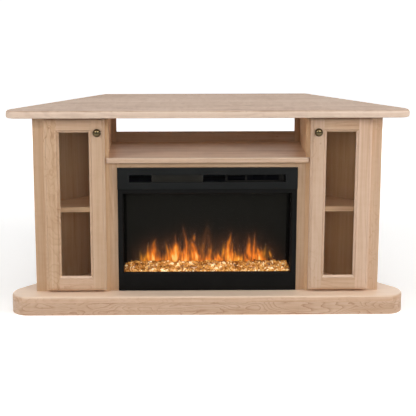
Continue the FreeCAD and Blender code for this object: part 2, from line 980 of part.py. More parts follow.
def make_hinges():
    """Concealed hinges: a flanged cup with a short arm on the door, a plate and hook on the frame."""
    cups = []
    plates = []
    arm_start = "hinge_x - ear_width / 2"
    for index, cup in enumerate(hinge_cups("hinge_cup", "0", "cup_flange")):
        z = hinge_heights()[index]
        ears = blank(
            f"hinge_ears_{index}",
            (arm_start, "door_back", f"{z} - ear_reach"),
            ("hinge_x + ear_width / 2", "door_back + cup_flange", f"{z} + ear_reach"),
        )
        arm = blank(
            f"hinge_arm_{index}",
            (arm_start, "door_back", f"{z} - arm_half_height"),
            (f"{arm_start} + arm_thickness", "door_back + arm_length", f"{z} + arm_half_height"),
        )
        cups.append(fuse(f"hinge_cup_piece_{index}", [cup, ears, arm]))
        plate = blank(
            f"hinge_plate_{index}",
            ("stile_edge - plate_thickness", "face_setback + plate_setback", f"{z} - plate_half_height"),
            ("stile_edge", "carcass_front", f"{z} + plate_half_height"),
        )
        hook = blank(
            f"hinge_hook_{index}",
            (
                "stile_edge - plate_thickness - hook_thickness",
                "face_setback + hook_setback",
                f"{z} - arm_half_height",
            ),
            ("stile_edge - plate_thickness", "carcass_front", f"{z} + arm_half_height"),
        )
        plates.append(fuse(f"hinge_plate_piece_{index}", [plate, hook]))
    pair(group("hinge_cups_right", cups))
    right = group("hinge_plates_right", plates)
    node(group("hinge_plates", [right, mirrored(right)]))


# ---------------------------------------------------------------- firebox


def make_shell():
    """A folded steel case, open in front, with a shelf under the heater and a bush for the rod."""
    outer = blank(
        "shell_outer",
        ("0 - shell_half", "frame_back", "plinth_height"),
        ("shell_half", "shell_back", "plinth_height + shell_height"),
    )
    chamber = blank(
        "shell_chamber",
        ("0 - shell_inner", "frame_back - overcut", "chamber_floor"),
        ("shell_inner", "shell_back - steel", "chamber_top"),
    )
    heater = blank(
        "shell_heater_space",
        ("0 - shell_inner", "frame_back - overcut", "heater_floor"),
        ("shell_inner", "shell_back - steel", "plinth_height + shell_height - steel"),
    )
    bush = rod("rod_bush", "X", ("bush_face", "rod_y", "rod_z"), "bush_radius", "bush_length")
    bore = rod(
        "rod_bush_bore",
        "X",
        ("bush_face - overcut", "rod_y", "rod_z"),
        "rod_radius + rod_play",
        "rod_grip + rod_end_gap + overcut",
    )
    gland_bore = rod(
        "gland_bore",
        "Y",
        ("gland_x", "shell_back - 2 * steel", "gland_z"),
        "gland_spigot_radius",
        "4 * steel",
    )
    folded = cut("shell_folded", outer, fuse("shell_spaces", [chamber, heater]))
    bushed = fuse("shell_bushed", [folded, bush])
    node(cut("firebox_shell", bushed, fuse("shell_bores", [bore, gland_bore])))


def make_front():
    """The black front: a frame round the window, the slotted band over it and the glass behind."""
    plate = tapered(
        "frame_plate",
        ("0 - insert_half", "frame_front", "insert_bottom"),
        ("insert_half", "frame_back", "band_bottom"),
        "frame_ease",
        "frame_ease",
    )
    window = tapered(
        "frame_window",
        ("0 - window_edge", "frame_front", "window_low"),
        ("window_edge", "frame_back + overcut", "window_high"),
        "0 - window_flare",
        "window_flare_depth",
    )
    node(cut("firebox_frame", plate, window))
    band_front = "frame_front - band_proud"
    band = tapered(
        "band_plate",
        ("0 - insert_half - band_side", band_front, "band_bottom"),
        ("insert_half + band_side", "frame_back", "insert_top"),
        "frame_ease",
        "frame_ease",
    )
    slot = tapered(
        "band_slot",
        ("0 - slot_half", band_front, "slot_low"),
        ("slot_half", "frame_back + overcut", "slot_high"),
        "0 - frame_ease",
        "frame_ease",
    )
    node(cut("firebox_band", band, slot))
    pane_edge = "window_edge + front_glass_lap"
    node(
        blank(
            "front_glass",
            (f"0 - ({pane_edge})", "frame_back", "window_low - front_glass_lap"),
            (pane_edge, "frame_back + front_glass_thickness", "window_high + front_glass_lap"),
        )
    )


RIDGE_STEPS = 6


def make_fire():
    """The screen that the flames show on, and the tray of crushed glass in front of it."""
    half = "(shell_inner - inner_play)"
    node(
        blank(
            "flame_screen",
            (f"0 - {half}", "screen_front", "chamber_floor"),
            (half, "screen_front + screen_thickness", "chamber_top - inner_play"),
        )
    )
    tray_back = "screen_front - inner_play"
    tray = blank(
        "tray_outer",
        (f"0 - {half}", "tray_front", "chamber_floor"),
        (half, tray_back, "tray_top"),
    )
    hollow = blank(
        "tray_hollow",
        (f"0 - {half} + tray_wall", "tray_front + tray_wall", "tray_top - ember_depth"),
        (f"{half} - tray_wall", f"{tray_back} - tray_wall", "tray_top + overcut"),
    )
    under = blank(
        "tray_under",
        (f"0 - {half} + tray_wall", "tray_front + tray_wall", "chamber_floor - overcut"),
        (f"{half} - tray_wall", f"{tray_back} - tray_wall", "tray_top - ember_depth - tray_wall"),
    )
    node(cut("ember_tray", tray, fuse("tray_spaces", [hollow, under])))
    bed_half = f"({half} - tray_wall - inner_play)"
    bed_depth = f"({tray_back} - tray_front - 2 * tray_wall - 2 * inner_play)"
    corners = [("0", "0"), (bed_depth, "0")]
    for step in range(RIDGE_STEPS, -1, -1):
        swell = "ember_crest" if step % 2 else "ember_trough"
        corners.append((f"{bed_depth} * {step} / {RIDGE_STEPS}", f"ember_depth + {swell}"))
    bed = doc.addObject("PartDesign::Body", "ember_crystals")
    profile = sketch_polygon(bed, "ember_profile", "YZ_Plane", corners)
    doc.recompute()
    pad = bed.newObject("PartDesign::Pad", "ember_pad")
    pad.Profile = profile
    bind(pad, Length=f"2 * {bed_half}")
    doc.recompute()
    node(place(bed, f"0 - {bed_half}", "tray_front + tray_wall + inner_play", "tray_top - ember_depth"))


PADDLE_COUNT = 12


def make_flicker():
    """The spinning rod whose bright paddles throw moving light on the screen, and its motor."""
    start = "(motor_face - rod_grip)"
    length = f"(bush_face + rod_grip - {start})"
    parts = [rod("flicker_shaft", "X", (start, "rod_y", "rod_z"), "rod_radius", length)]
    for index in range(PADDLE_COUNT):
        x = f"{start} + {length} * {index + 1} / {PADDLE_COUNT + 1}"
        flat, thin = "paddle_reach", "paddle_thickness / 2"
        deep, high = (flat, thin) if index % 2 else (thin, flat)
        parts.append(
            blank(
                f"paddle_{index}",
                (f"{x} - paddle_width / 2", f"rod_y - {deep}", f"rod_z - {high}"),
                (f"{x} + paddle_width / 2", f"rod_y + {deep}", f"rod_z + {high}"),
            )
        )
    node(fuse("flicker_rod", parts))
    can = rod("motor_can", "X", ("0 - shell_inner", "rod_y", "rod_z"), "motor_radius", "motor_length")
    foot = blank(
        "motor_foot",
        ("0 - shell_inner", "rod_y - motor_foot_half", "chamber_floor"),
        ("motor_face", "rod_y + motor_foot_half", "rod_z"),
    )
    socket = rod(
        "motor_socket",
        "X",
        ("motor_face - rod_grip - rod_end_gap", "rod_y", "rod_z"),
        "rod_radius + rod_play",
        "rod_grip + rod_end_gap + overcut",
    )
    node(cut("rod_motor", fuse("motor_body", [can, foot]), socket))


BLADE_COUNT = 12


def make_blower():
    """The long drum fan behind the outlet, and the folded bracket that carries it."""
    centre = ("blower_y", "blower_z")
    shaft_out = "(bracket_gap + 2 * bracket_sheet)"
    parts = [
        rod(
            "fan_shaft",
            "X",
            (f"fan_left - {shaft_out}", *centre),
            "blower_shaft_radius",
            f"blower_length + 2 * {shaft_out}",
        )
    ]
    middle = "(fan_left + fan_right) / 2"
    for side, x in (("left", "fan_left"), ("right", "fan_right - fan_disc"), ("middle", middle)):
        parts.append(rod(f"fan_disc_{side}", "X", (x, *centre), "blower_radius", "fan_disc"))
    for index in range(BLADE_COUNT):
        angle = 360 / BLADE_COUNT * index
        blade = doc.addObject("Part::Box", f"fan_blade_{index}")
        bind(blade, Length="blower_length", Width="blade_depth", Height="blade_thickness")
        blade.Placement = FreeCAD.Placement(Vector(), FreeCAD.Rotation(Vector(1, 0, 0), angle))
        reach = "(blower_radius - blade_inset - blade_depth)"
        y = f"blower_y + {reach} * cos({angle:.0f})"
        z = f"blower_z + {reach} * sin({angle:.0f})"
        parts.append(place(blade, "fan_left", y, z))
    node(fuse("blower_wheel", parts))
    left, right = "fan_left - bracket_gap", "fan_right + bracket_gap"
    front, back = "blower_y - blower_radius", "blower_y + blower_radius + blower_lift"
    low, high = "heater_floor", "blower_z + blower_radius"
    outer = blank(
        "blower_fold_outer",
        (f"{left} - bracket_sheet", front, low),
        (f"{right} + bracket_sheet", back, high),
    )
    inner = blank(
        "blower_fold_inner",
        (left, f"{front} - overcut", f"{low} + bracket_sheet"),
        (right, f"{back} - bracket_sheet", f"{high} + overcut"),
    )
    bore = rod(
        "blower_bores",
        "X",
        (f"fan_left - 2 * {shaft_out}", *centre),
        "blower_shaft_radius + rod_play",
        f"blower_length + 4 * {shaft_out}",
    )
    node(cut("blower_housing", cut("blower_fold", outer, inner), bore))


FIN_COUNT = 16
GRILLE_SLOTS = 16


def make_heater():
    """The finned element in front of the fan, and the punched grille in front of that."""
    front = "(frame_back + heater_setback)"
    back = f"({front} + heater_depth)"
    foot = blank("element_foot", ("fan_left", front, "heater_floor"), ("fan_right", back, "element_low"))
    rail = blank("element_rail_bar", ("fan_left", front, "element_high"), ("fan_right", back, "slot_high"))
    fins = []
    for index in range(FIN_COUNT):
        x = f"fan_left + (blower_length - fin_thickness) * {index} / {FIN_COUNT - 1}"
        fins.append(
            blank(
                f"element_fin_{index}",
                (x, front, "element_low - fin_root"),
                (f"{x} + fin_thickness", back, "element_high + fin_root"),
            )
        )
    node(fuse("heater_element", [foot, rail, *fins]))
    plate = blank(
        "grille_plate",
        ("fan_left - grille_margin", "grille_front", "heater_floor"),
        ("fan_right + grille_margin", "grille_front + grille_thickness", "slot_high + panel_rise"),
    )
    slots = []
    pitch = f"(blower_length / {GRILLE_SLOTS})"
    row_height = "(slot_height - 3 * panel_rise) / 2"
    for index in range(GRILLE_SLOTS):
        left = f"fan_left + {pitch} * {index} + grille_bar / 2"
        right = f"{left} + {pitch} - grille_bar"
        for row, low in enumerate(("slot_low + panel_rise", "slot_middle + panel_rise / 2")):
            slots.append(
                blank(
                    f"grille_slot_{row}_{index}",
                    (left, "grille_front - overcut", low),
                    (right, "grille_front + grille_thickness + overcut", f"{low} + {row_height}"),
                )
            )
    node(cut("outlet_grille", plate, fuse("grille_slots", slots)))


def button_block(name, centre, grow, front, back):
    """A block the size of a button, grown by a margin, between two depths."""
    return blank(
        name,
        (f"{centre} - button_width / 2 - {grow}", front, f"slot_middle - button_height / 2 - {grow}"),
        (f"{centre} + button_width / 2 + {grow}", back, f"slot_middle + button_height / 2 + {grow}"),
    )


def make_controls():
    """The control panel at the right of the slot, with two push buttons that stand through it."""
    panel_back = "(grille_front + panel_thickness)"
    plate = blank(
        "panel_plate",
        ("panel_left", "grille_front", "heater_floor"),
        ("panel_right", panel_back, "slot_high + panel_rise"),
    )
    holes = []
    hole_front, hole_back = "grille_front - overcut", f"{panel_back} + overcut"
    buttons = (("power_button", "button_one"), ("heat_button", "button_two"))
    for name, centre in buttons:
        holes.append(button_block(name + "_hole", centre, "button_play", hole_front, hole_back))
    node(cut("control_panel", plate, fuse("panel_holes", holes)))
    collar_front = f"({panel_back} + collar_gap)"
    collar_back = f"({collar_front} + collar_thickness)"
    for name, centre in buttons:
        cap = button_block(name + "_cap", centre, "0", "grille_front - button_proud", collar_back)
        collar = button_block(name + "_collar", centre, "collar_thickness", collar_front, collar_back)
        node(fuse(name, [cap, collar]))


def make_gland():
    """The ring through which the supply lead leaves the shell."""
    spot = ("gland_x", "shell_back", "gland_z")
    flange = rod("gland_flange_ring", "Y", spot, "gland_radius", "gland_flange")
    nose = rod("gland_nose", "Y", spot, "gland_nose_radius", "gland_length")
    spigot = rod(
        "gland_spigot",
        "Y",
        ("gland_x", "shell_back - 2 * steel", "gland_z"),
        "gland_spigot_radius - screw_play",
        "3 * steel",
    )
    bore = rod(
        "gland_hole",
        "Y",
        ("gland_x", "shell_back - gland_length", "gland_z"),
        "lead_radius",
        "3 * gland_length",
    )
    node(cut("cord_gland", fuse("gland_solid", [flange, nose, spigot]), bore))


def check_model():
    """Stop if any object failed or any piece has no valid shape."""
    doc.recompute()
    for thing in doc.Objects:
        if "Invalid" in thing.State or "Error" in thing.State:
            raise SystemExit(f"{thing.Label} failed: {thing.State}")
    for thing in nodes:
        if thing.Shape.isNull() or not thing.Shape.isValid() or not thing.Shape.Solids:
            raise SystemExit(f"{thing.Label} has no valid shape")


def write_parts():
    os.makedirs("parts", exist_ok=True)
    for thing in nodes:
        thing.Shape.exportStep(f"parts/{thing.Label}.step")
    print(len(nodes), "pieces written")


make_top()
make_plinth()
make_screws()
make_uprights()
make_face_frame()
make_surround()
make_media_shelf()
make_rear_frame()
make_cabinet_shelves()
make_doors()
make_knobs()
make_hinges()
make_shell()
make_front()
make_fire()
make_flicker()
make_blower()
make_heater()
make_controls()
make_gland()
check_model()
write_parts()
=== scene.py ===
import math

import bmesh
import bpy
import numpy as np
from mathutils import Matrix, Vector


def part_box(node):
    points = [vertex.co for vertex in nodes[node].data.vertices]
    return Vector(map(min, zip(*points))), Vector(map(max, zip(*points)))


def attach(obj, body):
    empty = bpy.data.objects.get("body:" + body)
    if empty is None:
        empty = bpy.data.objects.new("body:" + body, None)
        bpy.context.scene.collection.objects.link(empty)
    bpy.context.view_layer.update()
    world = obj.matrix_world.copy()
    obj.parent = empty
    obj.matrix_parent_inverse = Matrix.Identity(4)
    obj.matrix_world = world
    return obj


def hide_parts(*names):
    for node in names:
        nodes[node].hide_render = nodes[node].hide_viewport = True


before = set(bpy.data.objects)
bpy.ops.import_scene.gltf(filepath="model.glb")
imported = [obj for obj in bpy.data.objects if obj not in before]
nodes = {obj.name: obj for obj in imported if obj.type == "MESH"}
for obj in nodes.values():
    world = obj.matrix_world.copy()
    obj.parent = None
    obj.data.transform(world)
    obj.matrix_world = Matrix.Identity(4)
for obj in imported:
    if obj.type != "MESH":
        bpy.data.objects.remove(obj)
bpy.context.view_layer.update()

MM = 0.001
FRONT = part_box("top_panel")[0].y


def row(x, back, z):
    """A point given in mm: across, back from the top's front edge, and up."""
    return Vector((x * MM, FRONT + back * MM, z * MM))


def span_of(name):
    """A CAD node's box in mm: left and right, front and back, low and high."""
    low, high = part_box(name)
    backs = (low.y - FRONT) / MM, (high.y - FRONT) / MM
    return (low.x / MM, high.x / MM), backs, (low.z / MM, high.z / MM)


# -------- camera


def make_camera():
    """The camera fitted to the photo's edges; its focal length is given in photo pixels."""
    focal_px, frame_px, sensor = 1096.6, 416, 36
    yaw, pitch, roll = 0.0095, 0.1949, -0.0012
    place = row(-110.6, -3813.2, 1464.1)
    data = bpy.data.cameras.new("camera")
    data.sensor_width = sensor
    data.lens = focal_px * sensor / frame_px
    data.shift_x, data.shift_y = 0.05, -0.2
    camera = bpy.data.objects.new("camera", data)
    bpy.context.scene.collection.objects.link(camera)
    turn = Matrix.Rotation(-yaw, 4, "Z") @ Matrix.Rotation(math.pi / 2 - pitch, 4, "X")
    turn @= Matrix.Rotation(roll, 4, "Z")
    camera.matrix_world = Matrix.Translation(place) @ turn
    bpy.context.scene.camera = camera


# -------- node helpers


class Graph:
    """The nodes of a material, or of the world, made by short calls."""

    def __init__(self, name, world=False):
        self.owner = (bpy.data.worlds if world else bpy.data.materials).new(name)
        self.owner.use_nodes = True
        self.tree = self.owner.node_tree
        self.tree.nodes.clear()
        self.out = self.put("OutputWorld" if world else "OutputMaterial")

    def put(self, kind, inputs=None, **settings):
        """A new node; an input is another node's output, which is linked, or a value."""
        made = self.tree.nodes.new("ShaderNode" + kind)
        for key, value in settings.items():
            setattr(made, key, value)
        for key, value in (inputs or {}).items():
            if isinstance(value, bpy.types.NodeSocket):
                self.tree.links.new(value, made.inputs[key])
            else:
                made.inputs[key].default_value = value
        return made

    def place(self):
        return self.put("TexCoord").outputs["Object"]

    def parts(self, vector):
        return self.put("SeparateXYZ", {"Vector": vector}).outputs

    def math(self, operation, *values, clamp=False):
        inputs = dict(enumerate(values))
        return self.put("Math", inputs, operation=operation, use_clamp=clamp).outputs[0]

    def product(self, first, *others):
        for other in others:
            first = self.math("MULTIPLY", first, other)
        return first

    def swing(self, value, noise, amount):
        """A value moved up and down by a noise that lies between 0 and 1."""
        return self.math("MULTIPLY_ADD", self.math("SUBTRACT", noise, 0.5), amount, value)

    def noise(self, vector, scale, detail=2.0, roughness=0.5, distortion=0.0, shift=(0, 0, 0)):
        """Noise from 0 to 1, at one scale or at a scale for each direction."""
        if isinstance(scale, tuple):
            mapping = {"Vector": vector, "Scale": scale, "Location": shift}
            vector, scale = self.put("Mapping", mapping).outputs[0], 1
        inputs = {"Vector": vector, "Scale": scale, "Detail": detail}
        inputs |= {"Roughness": roughness, "Distortion": distortion}
        return self.put("TexNoise", inputs).outputs[0]

    def ramp(self, value, stops):
        made = self.put("ValToRGB", {"Fac": value})
        band = made.color_ramp
        while len(band.elements) < len(stops):
            band.elements.new(0.5)
        for element, (place, color) in zip(band.elements, stops):
            element.position = place
            element.color = (*color, 1)
        return made.outputs[0]

    def span(self, value, low, high, to_low=0.0, to_high=1.0):
        ends = {"From Min": low, "From Max": high, "To Min": to_low, "To Max": to_high}
        return self.put("MapRange", {"Value": value, **ends}).outputs[0]

    def mix(self, factor, first, second):
        first, second = ((*c, 1) if isinstance(c, tuple) else c for c in (first, second))
        inputs = {0: factor, 6: first, 7: second}
        return self.put("Mix", inputs, data_type="RGBA").outputs[2]

    def bump(self, height, distance, strength):
        inputs = {"Height": height, "Distance": distance, "Strength": strength}
        return self.put("Bump", inputs).outputs[0]

    def principled(self, inputs):
        """End the material with one Principled shader."""
        return self.finish(self.put("BsdfPrincipled", inputs).outputs[0])

    def finish(self, shader):
        self.tree.links.new(shader, self.out.inputs["Surface"])
        return self.owner


# -------- wood

SWAPS = {"X": (0, 1, 2), "Z": (2, 1, 0)}

# How fine each layer of the grain is: waves to the metre along, across and through a board.
BROAD, RING, RING_PATCH = (1.0, 10, 10), (1.5, 15, 12), (2.2, 7, 7)
FIBRE, STREAK, THREAD, CURL = (4, 300, 300), (1.6, 80, 80), (3.0, 170, 170), (34, 9, 9)
FLECK, SPOT = (55, 520, 520), (60, 150, 150)
SQUIGGLE, SQUIGGLE_PATCH = (11, 26, 20), (3.2, 12, 12)
CONTOUR, CONTOUR_JAG, CONTOUR_PATCH = (4.2, 16, 16), (38, 90, 90), (2.5, 8, 8)

MAPLE_TONES = (
    (0.0, (0.43, 0.250, 0.145)),
    (0.30, (0.550, 0.350, 0.215)),
    (0.52, (0.618, 0.416, 0.272)),
    (0.78, (0.668, 0.472, 0.325)),
    (1.0, (0.705, 0.523, 0.380)),
)
FLECK_BROWN, SPOT_BROWN = (0.38, 0.22, 0.13), (0.34, 0.17, 0.09)
LINE_BROWN, SHADE_BROWN = (0.40, 0.205, 0.110), (0.46, 0.270, 0.155)


def grain_axes(g, place, grain):
    """The directions of a board: along its grain, across its face and through it."""
    parts = g.parts(place)
    if grain in SWAPS:
        return [parts[index] for index in SWAPS[grain]]
    slant = math.sqrt(0.5)
    ahead = g.product(g.math("ADD", parts[0], parts[1]), slant)
    aside = g.product(g.math("SUBTRACT", parts[1], parts[0]), slant)
    along, across = (ahead, aside) if grain == "SLANT_LEFT" else (aside, ahead)
    return [along, across, parts[2]]


def glued_staves(g, axes, wide):
    """Give each stave of a glued board its own stretch of grain, and pick its tone."""
    along, across, through = axes
    index = g.math("FLOOR", g.math("DIVIDE", across, wide))
    pick = g.put("TexWhiteNoise", {"W": index}, noise_dimensions="1D").outputs[0]
    along = g.math("ADD", along, g.product(pick, 7.0))
    through = g.math("ADD", through, g.product(pick, 3.0))
    return [along, across, through], pick


def growth_rings(g, wood):
    """The dark late-wood lines of the growth rings, in patches."""
    field = g.noise(wood, RING, 2.5, 0.42, 0.25)
    rings = g.math("SINE", g.product(field, 74.0))
    line = g.math("POWER", g.span(rings, -1, 1), 2.6)
    patch = g.span(g.noise(wood, RING_PATCH, 2, shift=(4, 2, 1)), 0.44, 0.68)
    return g.product(line, patch)


def squiggle_lines(g, wood):
    """Short wavy strokes, in patches."""
    wavy = g.noise(wood, SQUIGGLE, 2, 0.5, 1.6)
    stroke = g.span(g.math("ABSOLUTE", g.math("SUBTRACT", wavy, 0.5)), 0.0, 0.036, 1.0, 0.0)
    patch = g.span(g.noise(wood, SQUIGGLE_PATCH, 1, shift=(7, 5, 2)), 0.40, 0.62)
    return g.product(stroke, patch)


def contour_lines(g, wood):
    """Jagged contours as on a map: how far between two lines, the line itself, and the patch."""
    rise = g.noise(wood, CONTOUR, 1.4, 0.5, 0.4, shift=(3, 1, 8))
    jag = g.noise(wood, CONTOUR_JAG, 2, 0.6, shift=(1, 5, 2))
    turn = g.math("FRACT", g.product(g.swing(rise, jag, 0.034), 18.0))
    patch = g.span(g.noise(wood, CONTOUR_PATCH, 1, shift=(9, 3, 6)), 0.22, 0.42)
    return turn, g.math("POWER", turn, 6.0), patch


def tinted(color, tone, warm):
    """A wood colour made lighter by tone, and warmer or cooler."""
    red, green, blue = (channel * tone for channel in color)
    return (red * (1 + 0.02 * warm), green, blue * (1 - 0.06 * warm))


def maple(
    name,
    grain,
    seed,
    tone=1.0,
    figure=1.0,
    warm=0.0,
    staves=None,
    squiggles=0.0,
    dull=False,
    contours=0.0,
    zones=(),
):
    """Lacquered maple: tone patches, growth rings, contours, fibre, flecks and a faint curl,
    with painted light and shade by height where asked.
    """
    g = Graph(name)
    place = g.place()
    axes = grain_axes(g, place, grain)
    if staves:
        axes, stave_tone = glued_staves(g, axes, staves)
    shift = [float(v) for v in np.random.default_rng(seed).uniform(-20, 20, 3)]
    local = g.put("CombineXYZ", dict(enumerate(axes))).outputs[0]
    wood = g.put("Mapping", {"Vector": local, "Location": shift}).outputs[0]

    broad = g.noise(wood, BROAD, 3, 0.55, 0.4)
    fibre = g.noise(wood, FIBRE, 4, 0.62)
    streak = g.noise(wood, STREAK, 3, 0.62)
    thread = g.noise(wood, THREAD, 2, 0.6)
    curl = g.noise(wood, CURL, 2, 0.5, 0.8)
    fleck = g.span(g.noise(wood, FLECK, 1), 0.71, 0.80)
    spot = g.span(g.noise(wood, SPOT, 1, shift=(2, 9, 4)), 0.755, 0.80)

    value = g.swing(0.56, broad, 0.62)
    for noise, amount in ((streak, 1.0), (thread, 0.55), (fibre, 0.34), (curl, 0.24 * figure)):
        value = g.swing(value, noise, amount)
    value = g.math("SUBTRACT", value, g.product(growth_rings(g, wood), 0.20 * figure))
    if squiggles:
        value = g.math("SUBTRACT", value, g.product(squiggle_lines(g, wood), squiggles))
    if staves:
        value = g.swing(value, stave_tone, 0.20)

    color = g.ramp(value, [(stop, tinted(shade, tone, warm)) for stop, shade in MAPLE_TONES])
    color = g.mix(g.product(fleck, 0.30), color, tinted(FLECK_BROWN, tone, warm))
    color = g.mix(g.product(spot, 0.5), color, tinted(SPOT_BROWN, tone, warm))
    if contours:
        turn, line, patch = contour_lines(g, wood)
        color = g.mix(g.product(line, patch, contours), color, tinted(LINE_BROWN, tone, warm))
        shade = g.product(turn, patch, 0.16 * contours)
        color = g.mix(shade, color, tinted(SHADE_BROWN, tone, warm))
    # Tints by height that paint light and shade: pale edges and tops, and shadow under the top.
    for start, end, painted_color, painted_share in zones:
        height = g.parts(place)[2]
        share = g.product(g.span(height, start, end), painted_share)
        color = g.mix(share, color, painted_color)

    roughest, smoothest = (0.72, 0.62) if dull else (0.52, 0.40)
    relief = g.math("MULTIPLY_ADD", fibre, 0.6, g.product(fleck, -0.5))
    relief = g.math("MULTIPLY_ADD", curl, 0.15, relief)
    return g.principled(
        {
            "Base Color": color,
            "Roughness": g.span(g.math("ADD", fibre, broad), 0.6, 1.4, roughest, smoothest),
            "Specular IOR Level": 0.0 if dull else 0.42,
            "Coat Weight": 0.0 if dull else 0.12,
            "Coat Roughness": 0.28,
            "Normal": g.bump(relief, 0.00012, 0.55),
        }
    )


# -------- glass, metal and plastic


def clear_glass(name, tint, smear, ior):
    """Flat non-glare glass with a faint smear in its gloss, which lets lamp light through."""
    g = Graph(name)
    place = g.place()
    cloud = g.noise(place, (7, 7, 5), 4, 0.6, 0.6)
    solid = g.put(
        "BsdfPrincipled",
        {
            "Base Color": (*tint, 1),
            "Roughness": g.span(cloud, 0.45, 0.75, 0.0, smear),
            "Transmission Weight": 1.0,
            "IOR": ior,
        },
    ).outputs[0]
    through = g.put("BsdfTransparent", {"Color": (*tint, 1)}).outputs[0]
    path = g.put("LightPath").outputs
    lamp = g.math("MAXIMUM", path["Is Shadow Ray"], path["Is Diffuse Ray"])
    return g.finish(g.put("MixShader", {0: lamp, 1: solid, 2: through}).outputs[0])


def powder(name, color, rough=0.46, specular=0.3, grain=900):
    """Powder-coated or painted steel: fine orange peel and slight dust."""
    g = Graph(name)
    place = g.place()
    peel = g.noise(place, grain, 3, 0.6)
    dust = g.noise(place, (6, 6, 9), 5, 0.65, 0.7)
    shade = g.span(dust, 0.3, 0.75)
    light = tuple(min(1, channel * 1.5 + 0.002) for channel in color)
    return g.principled(
        {
            "Base Color": g.mix(shade, color, light),
            "Roughness": g.span(dust, 0.3, 0.7, rough + 0.06, rough - 0.06),
            "Specular IOR Level": specular,
            "Normal": g.bump(peel, 0.00006, 0.4),
        }
    )


def shell_paint():
    """Black paint inside and out, with the chamber over the screen left as bare steel."""
    chamber_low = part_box("flame_screen")[1].z
    g = Graph("shell_paint")
    place = g.place()
    parts = g.parts(place)
    spangle = g.noise(place, (70, 70, 70), 3, 0.6)
    bare = g.span(parts[2], chamber_low - 0.2 * MM, chamber_low + 0.8 * MM)
    steel = g.mix(spangle, (0.26, 0.27, 0.31), (0.37, 0.38, 0.42))
    paint = g.mix(spangle, (0.008, 0.008, 0.008), (0.013, 0.012, 0.012))
    return g.principled(
        {
            "Base Color": g.mix(bare, paint, steel),
            "Roughness": g.span(spangle, 0.3, 0.7, 0.62, 0.5),
            "Specular IOR Level": 0.15,
            "Normal": g.bump(spangle, 0.00005, 0.3),
        }
    )


def metal(name, color, rough, grain=(4, 400, 400), worn=None):
    """Drawn or plated metal with fine lines, and dark tarnish in patches where asked."""
    g = Graph(name)
    place = g.place()
    lines = g.noise(place, grain, 3, 0.6)
    patch = g.noise(place, (60, 60, 60), 4, 0.6, 0.6)
    shown = g.mix(g.span(lines, 0.3, 0.7), tuple(c * 0.86 for c in color), color)
    if worn:
        shown = g.mix(g.span(patch, 0.42, 0.72, 0.0, 0.75), shown, worn)
    return g.principled(
        {
            "Base Color": shown,
            "Metallic": 1.0,
            "Roughness": g.span(patch, 0.3, 0.7, rough * 1.25, rough * 0.8),
            "Normal": g.bump(lines, 0.00004, 0.35),
        }
    )


def plastic(name, color, rough, specular=0.45, grain=700, depth=0.00005):
    """Moulded plastic or rubber with a fine spark texture."""
    g = Graph(name)
    place = g.place()
    spark = g.noise(place, grain, 2, 0.6)
    cloud = g.noise(place, (20, 20, 20), 3)
    light = tuple(min(1, channel * 1.35 + 0.002) for channel in color)
    return g.principled(
        {
            "Base Color": g.mix(cloud, color, light),
            "Roughness": g.span(cloud, 0.3, 0.7, rough + 0.05, rough - 0.04),
            "Specular IOR Level": specular,
            "Normal": g.bump(spark, depth, 0.4),
        }
    )


# -------- mesh helpers


def piece(name, mesh, material, body, stands_for=()):
    """Show a mesh as a piece that rides on a CAD body and may stand for CAD nodes."""
    obj = bpy.data.objects.new(name, mesh)
    bpy.context.scene.collection.objects.link(obj)
    mesh.materials.clear()
    mesh.materials.append(material)
    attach(obj, body)
    if stands_for:
        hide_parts(*stands_for)


def mesh_of(name, corners, faces):
    """A flat-shaded mesh of corners in metres and the corners of each face."""
    mesh = bpy.data.meshes.new(name)
    mesh.from_pydata([tuple(c) for c in corners], [], faces)
    mesh.validate()
    mesh.update()
    return mesh


def quads(index):
    """The four-cornered faces of a grid of corner numbers."""
    corners = (index[:-1, :-1], index[:-1, 1:], index[1:, 1:], index[1:, :-1])
    return np.stack([corner.ravel() for corner in corners], 1).tolist()


def eased_box(low, high, ease):
    """A bmesh block between two corners with its edges rounded."""
    shape = bmesh.new()
    bmesh.ops.create_cube(shape, size=1.0)
    middle, size = (low + high) / 2, high - low
    for vert in shape.verts:
        vert.co = Vector(a * b for a, b in zip(vert.co, size)) + middle
    bmesh.ops.bevel(
        shape,
        geom=shape.edges[:],
        offset=ease,
        segments=2,
        profile=0.5,
        affect="EDGES",
    )
    return shape


def finished(shape, name, smooth=True):
    """A mesh made of a bmesh shape, which is used up, smooth but for its sharp edges."""
    mesh = bpy.data.meshes.new(name)
    bmesh.ops.recalc_face_normals(shape, faces=shape.faces[:])
    shape.to_mesh(mesh)
    shape.free()
    mesh.polygons.foreach_set("use_smooth", [smooth] * len(mesh.polygons))
    if smooth:
        mesh.set_sharp_from_angle(angle=math.radians(40))
    return mesh


def lathe(profile, centre, turns=72):
    """Turn a profile of (radius, depth back) in mm round a front-to-back axis."""
    shape = bmesh.new()
    rings = []
    for radius, back in profile:
        steps = turns if radius else 1
        angles = [2 * math.pi * k / turns for k in range(steps)]
        spots = [(radius * math.cos(t), back, radius * math.sin(t)) for t in angles]
        rings.append([shape.verts.new(centre + Vector(spot) * MM) for spot in spots])
    for first, second in zip(rings, rings[1:]):
        for k in range(turns):
            after = (k + 1) % turns
            corners = [first[k % len(first)], first[after % len(first)]]
            corners += [second[after % len(second)], second[k % len(second)]]
            shape.faces.new(list(dict.fromkeys(corners)))
    return shape


# -------- wood nodes


def sided(names):
    """The names of pieces; one that ends in _ stands for its right and its left piece."""
    found = []
    for name in names.split():
        found += [name + "right", name + "left"] if name.endswith("_") else [name]
    return found


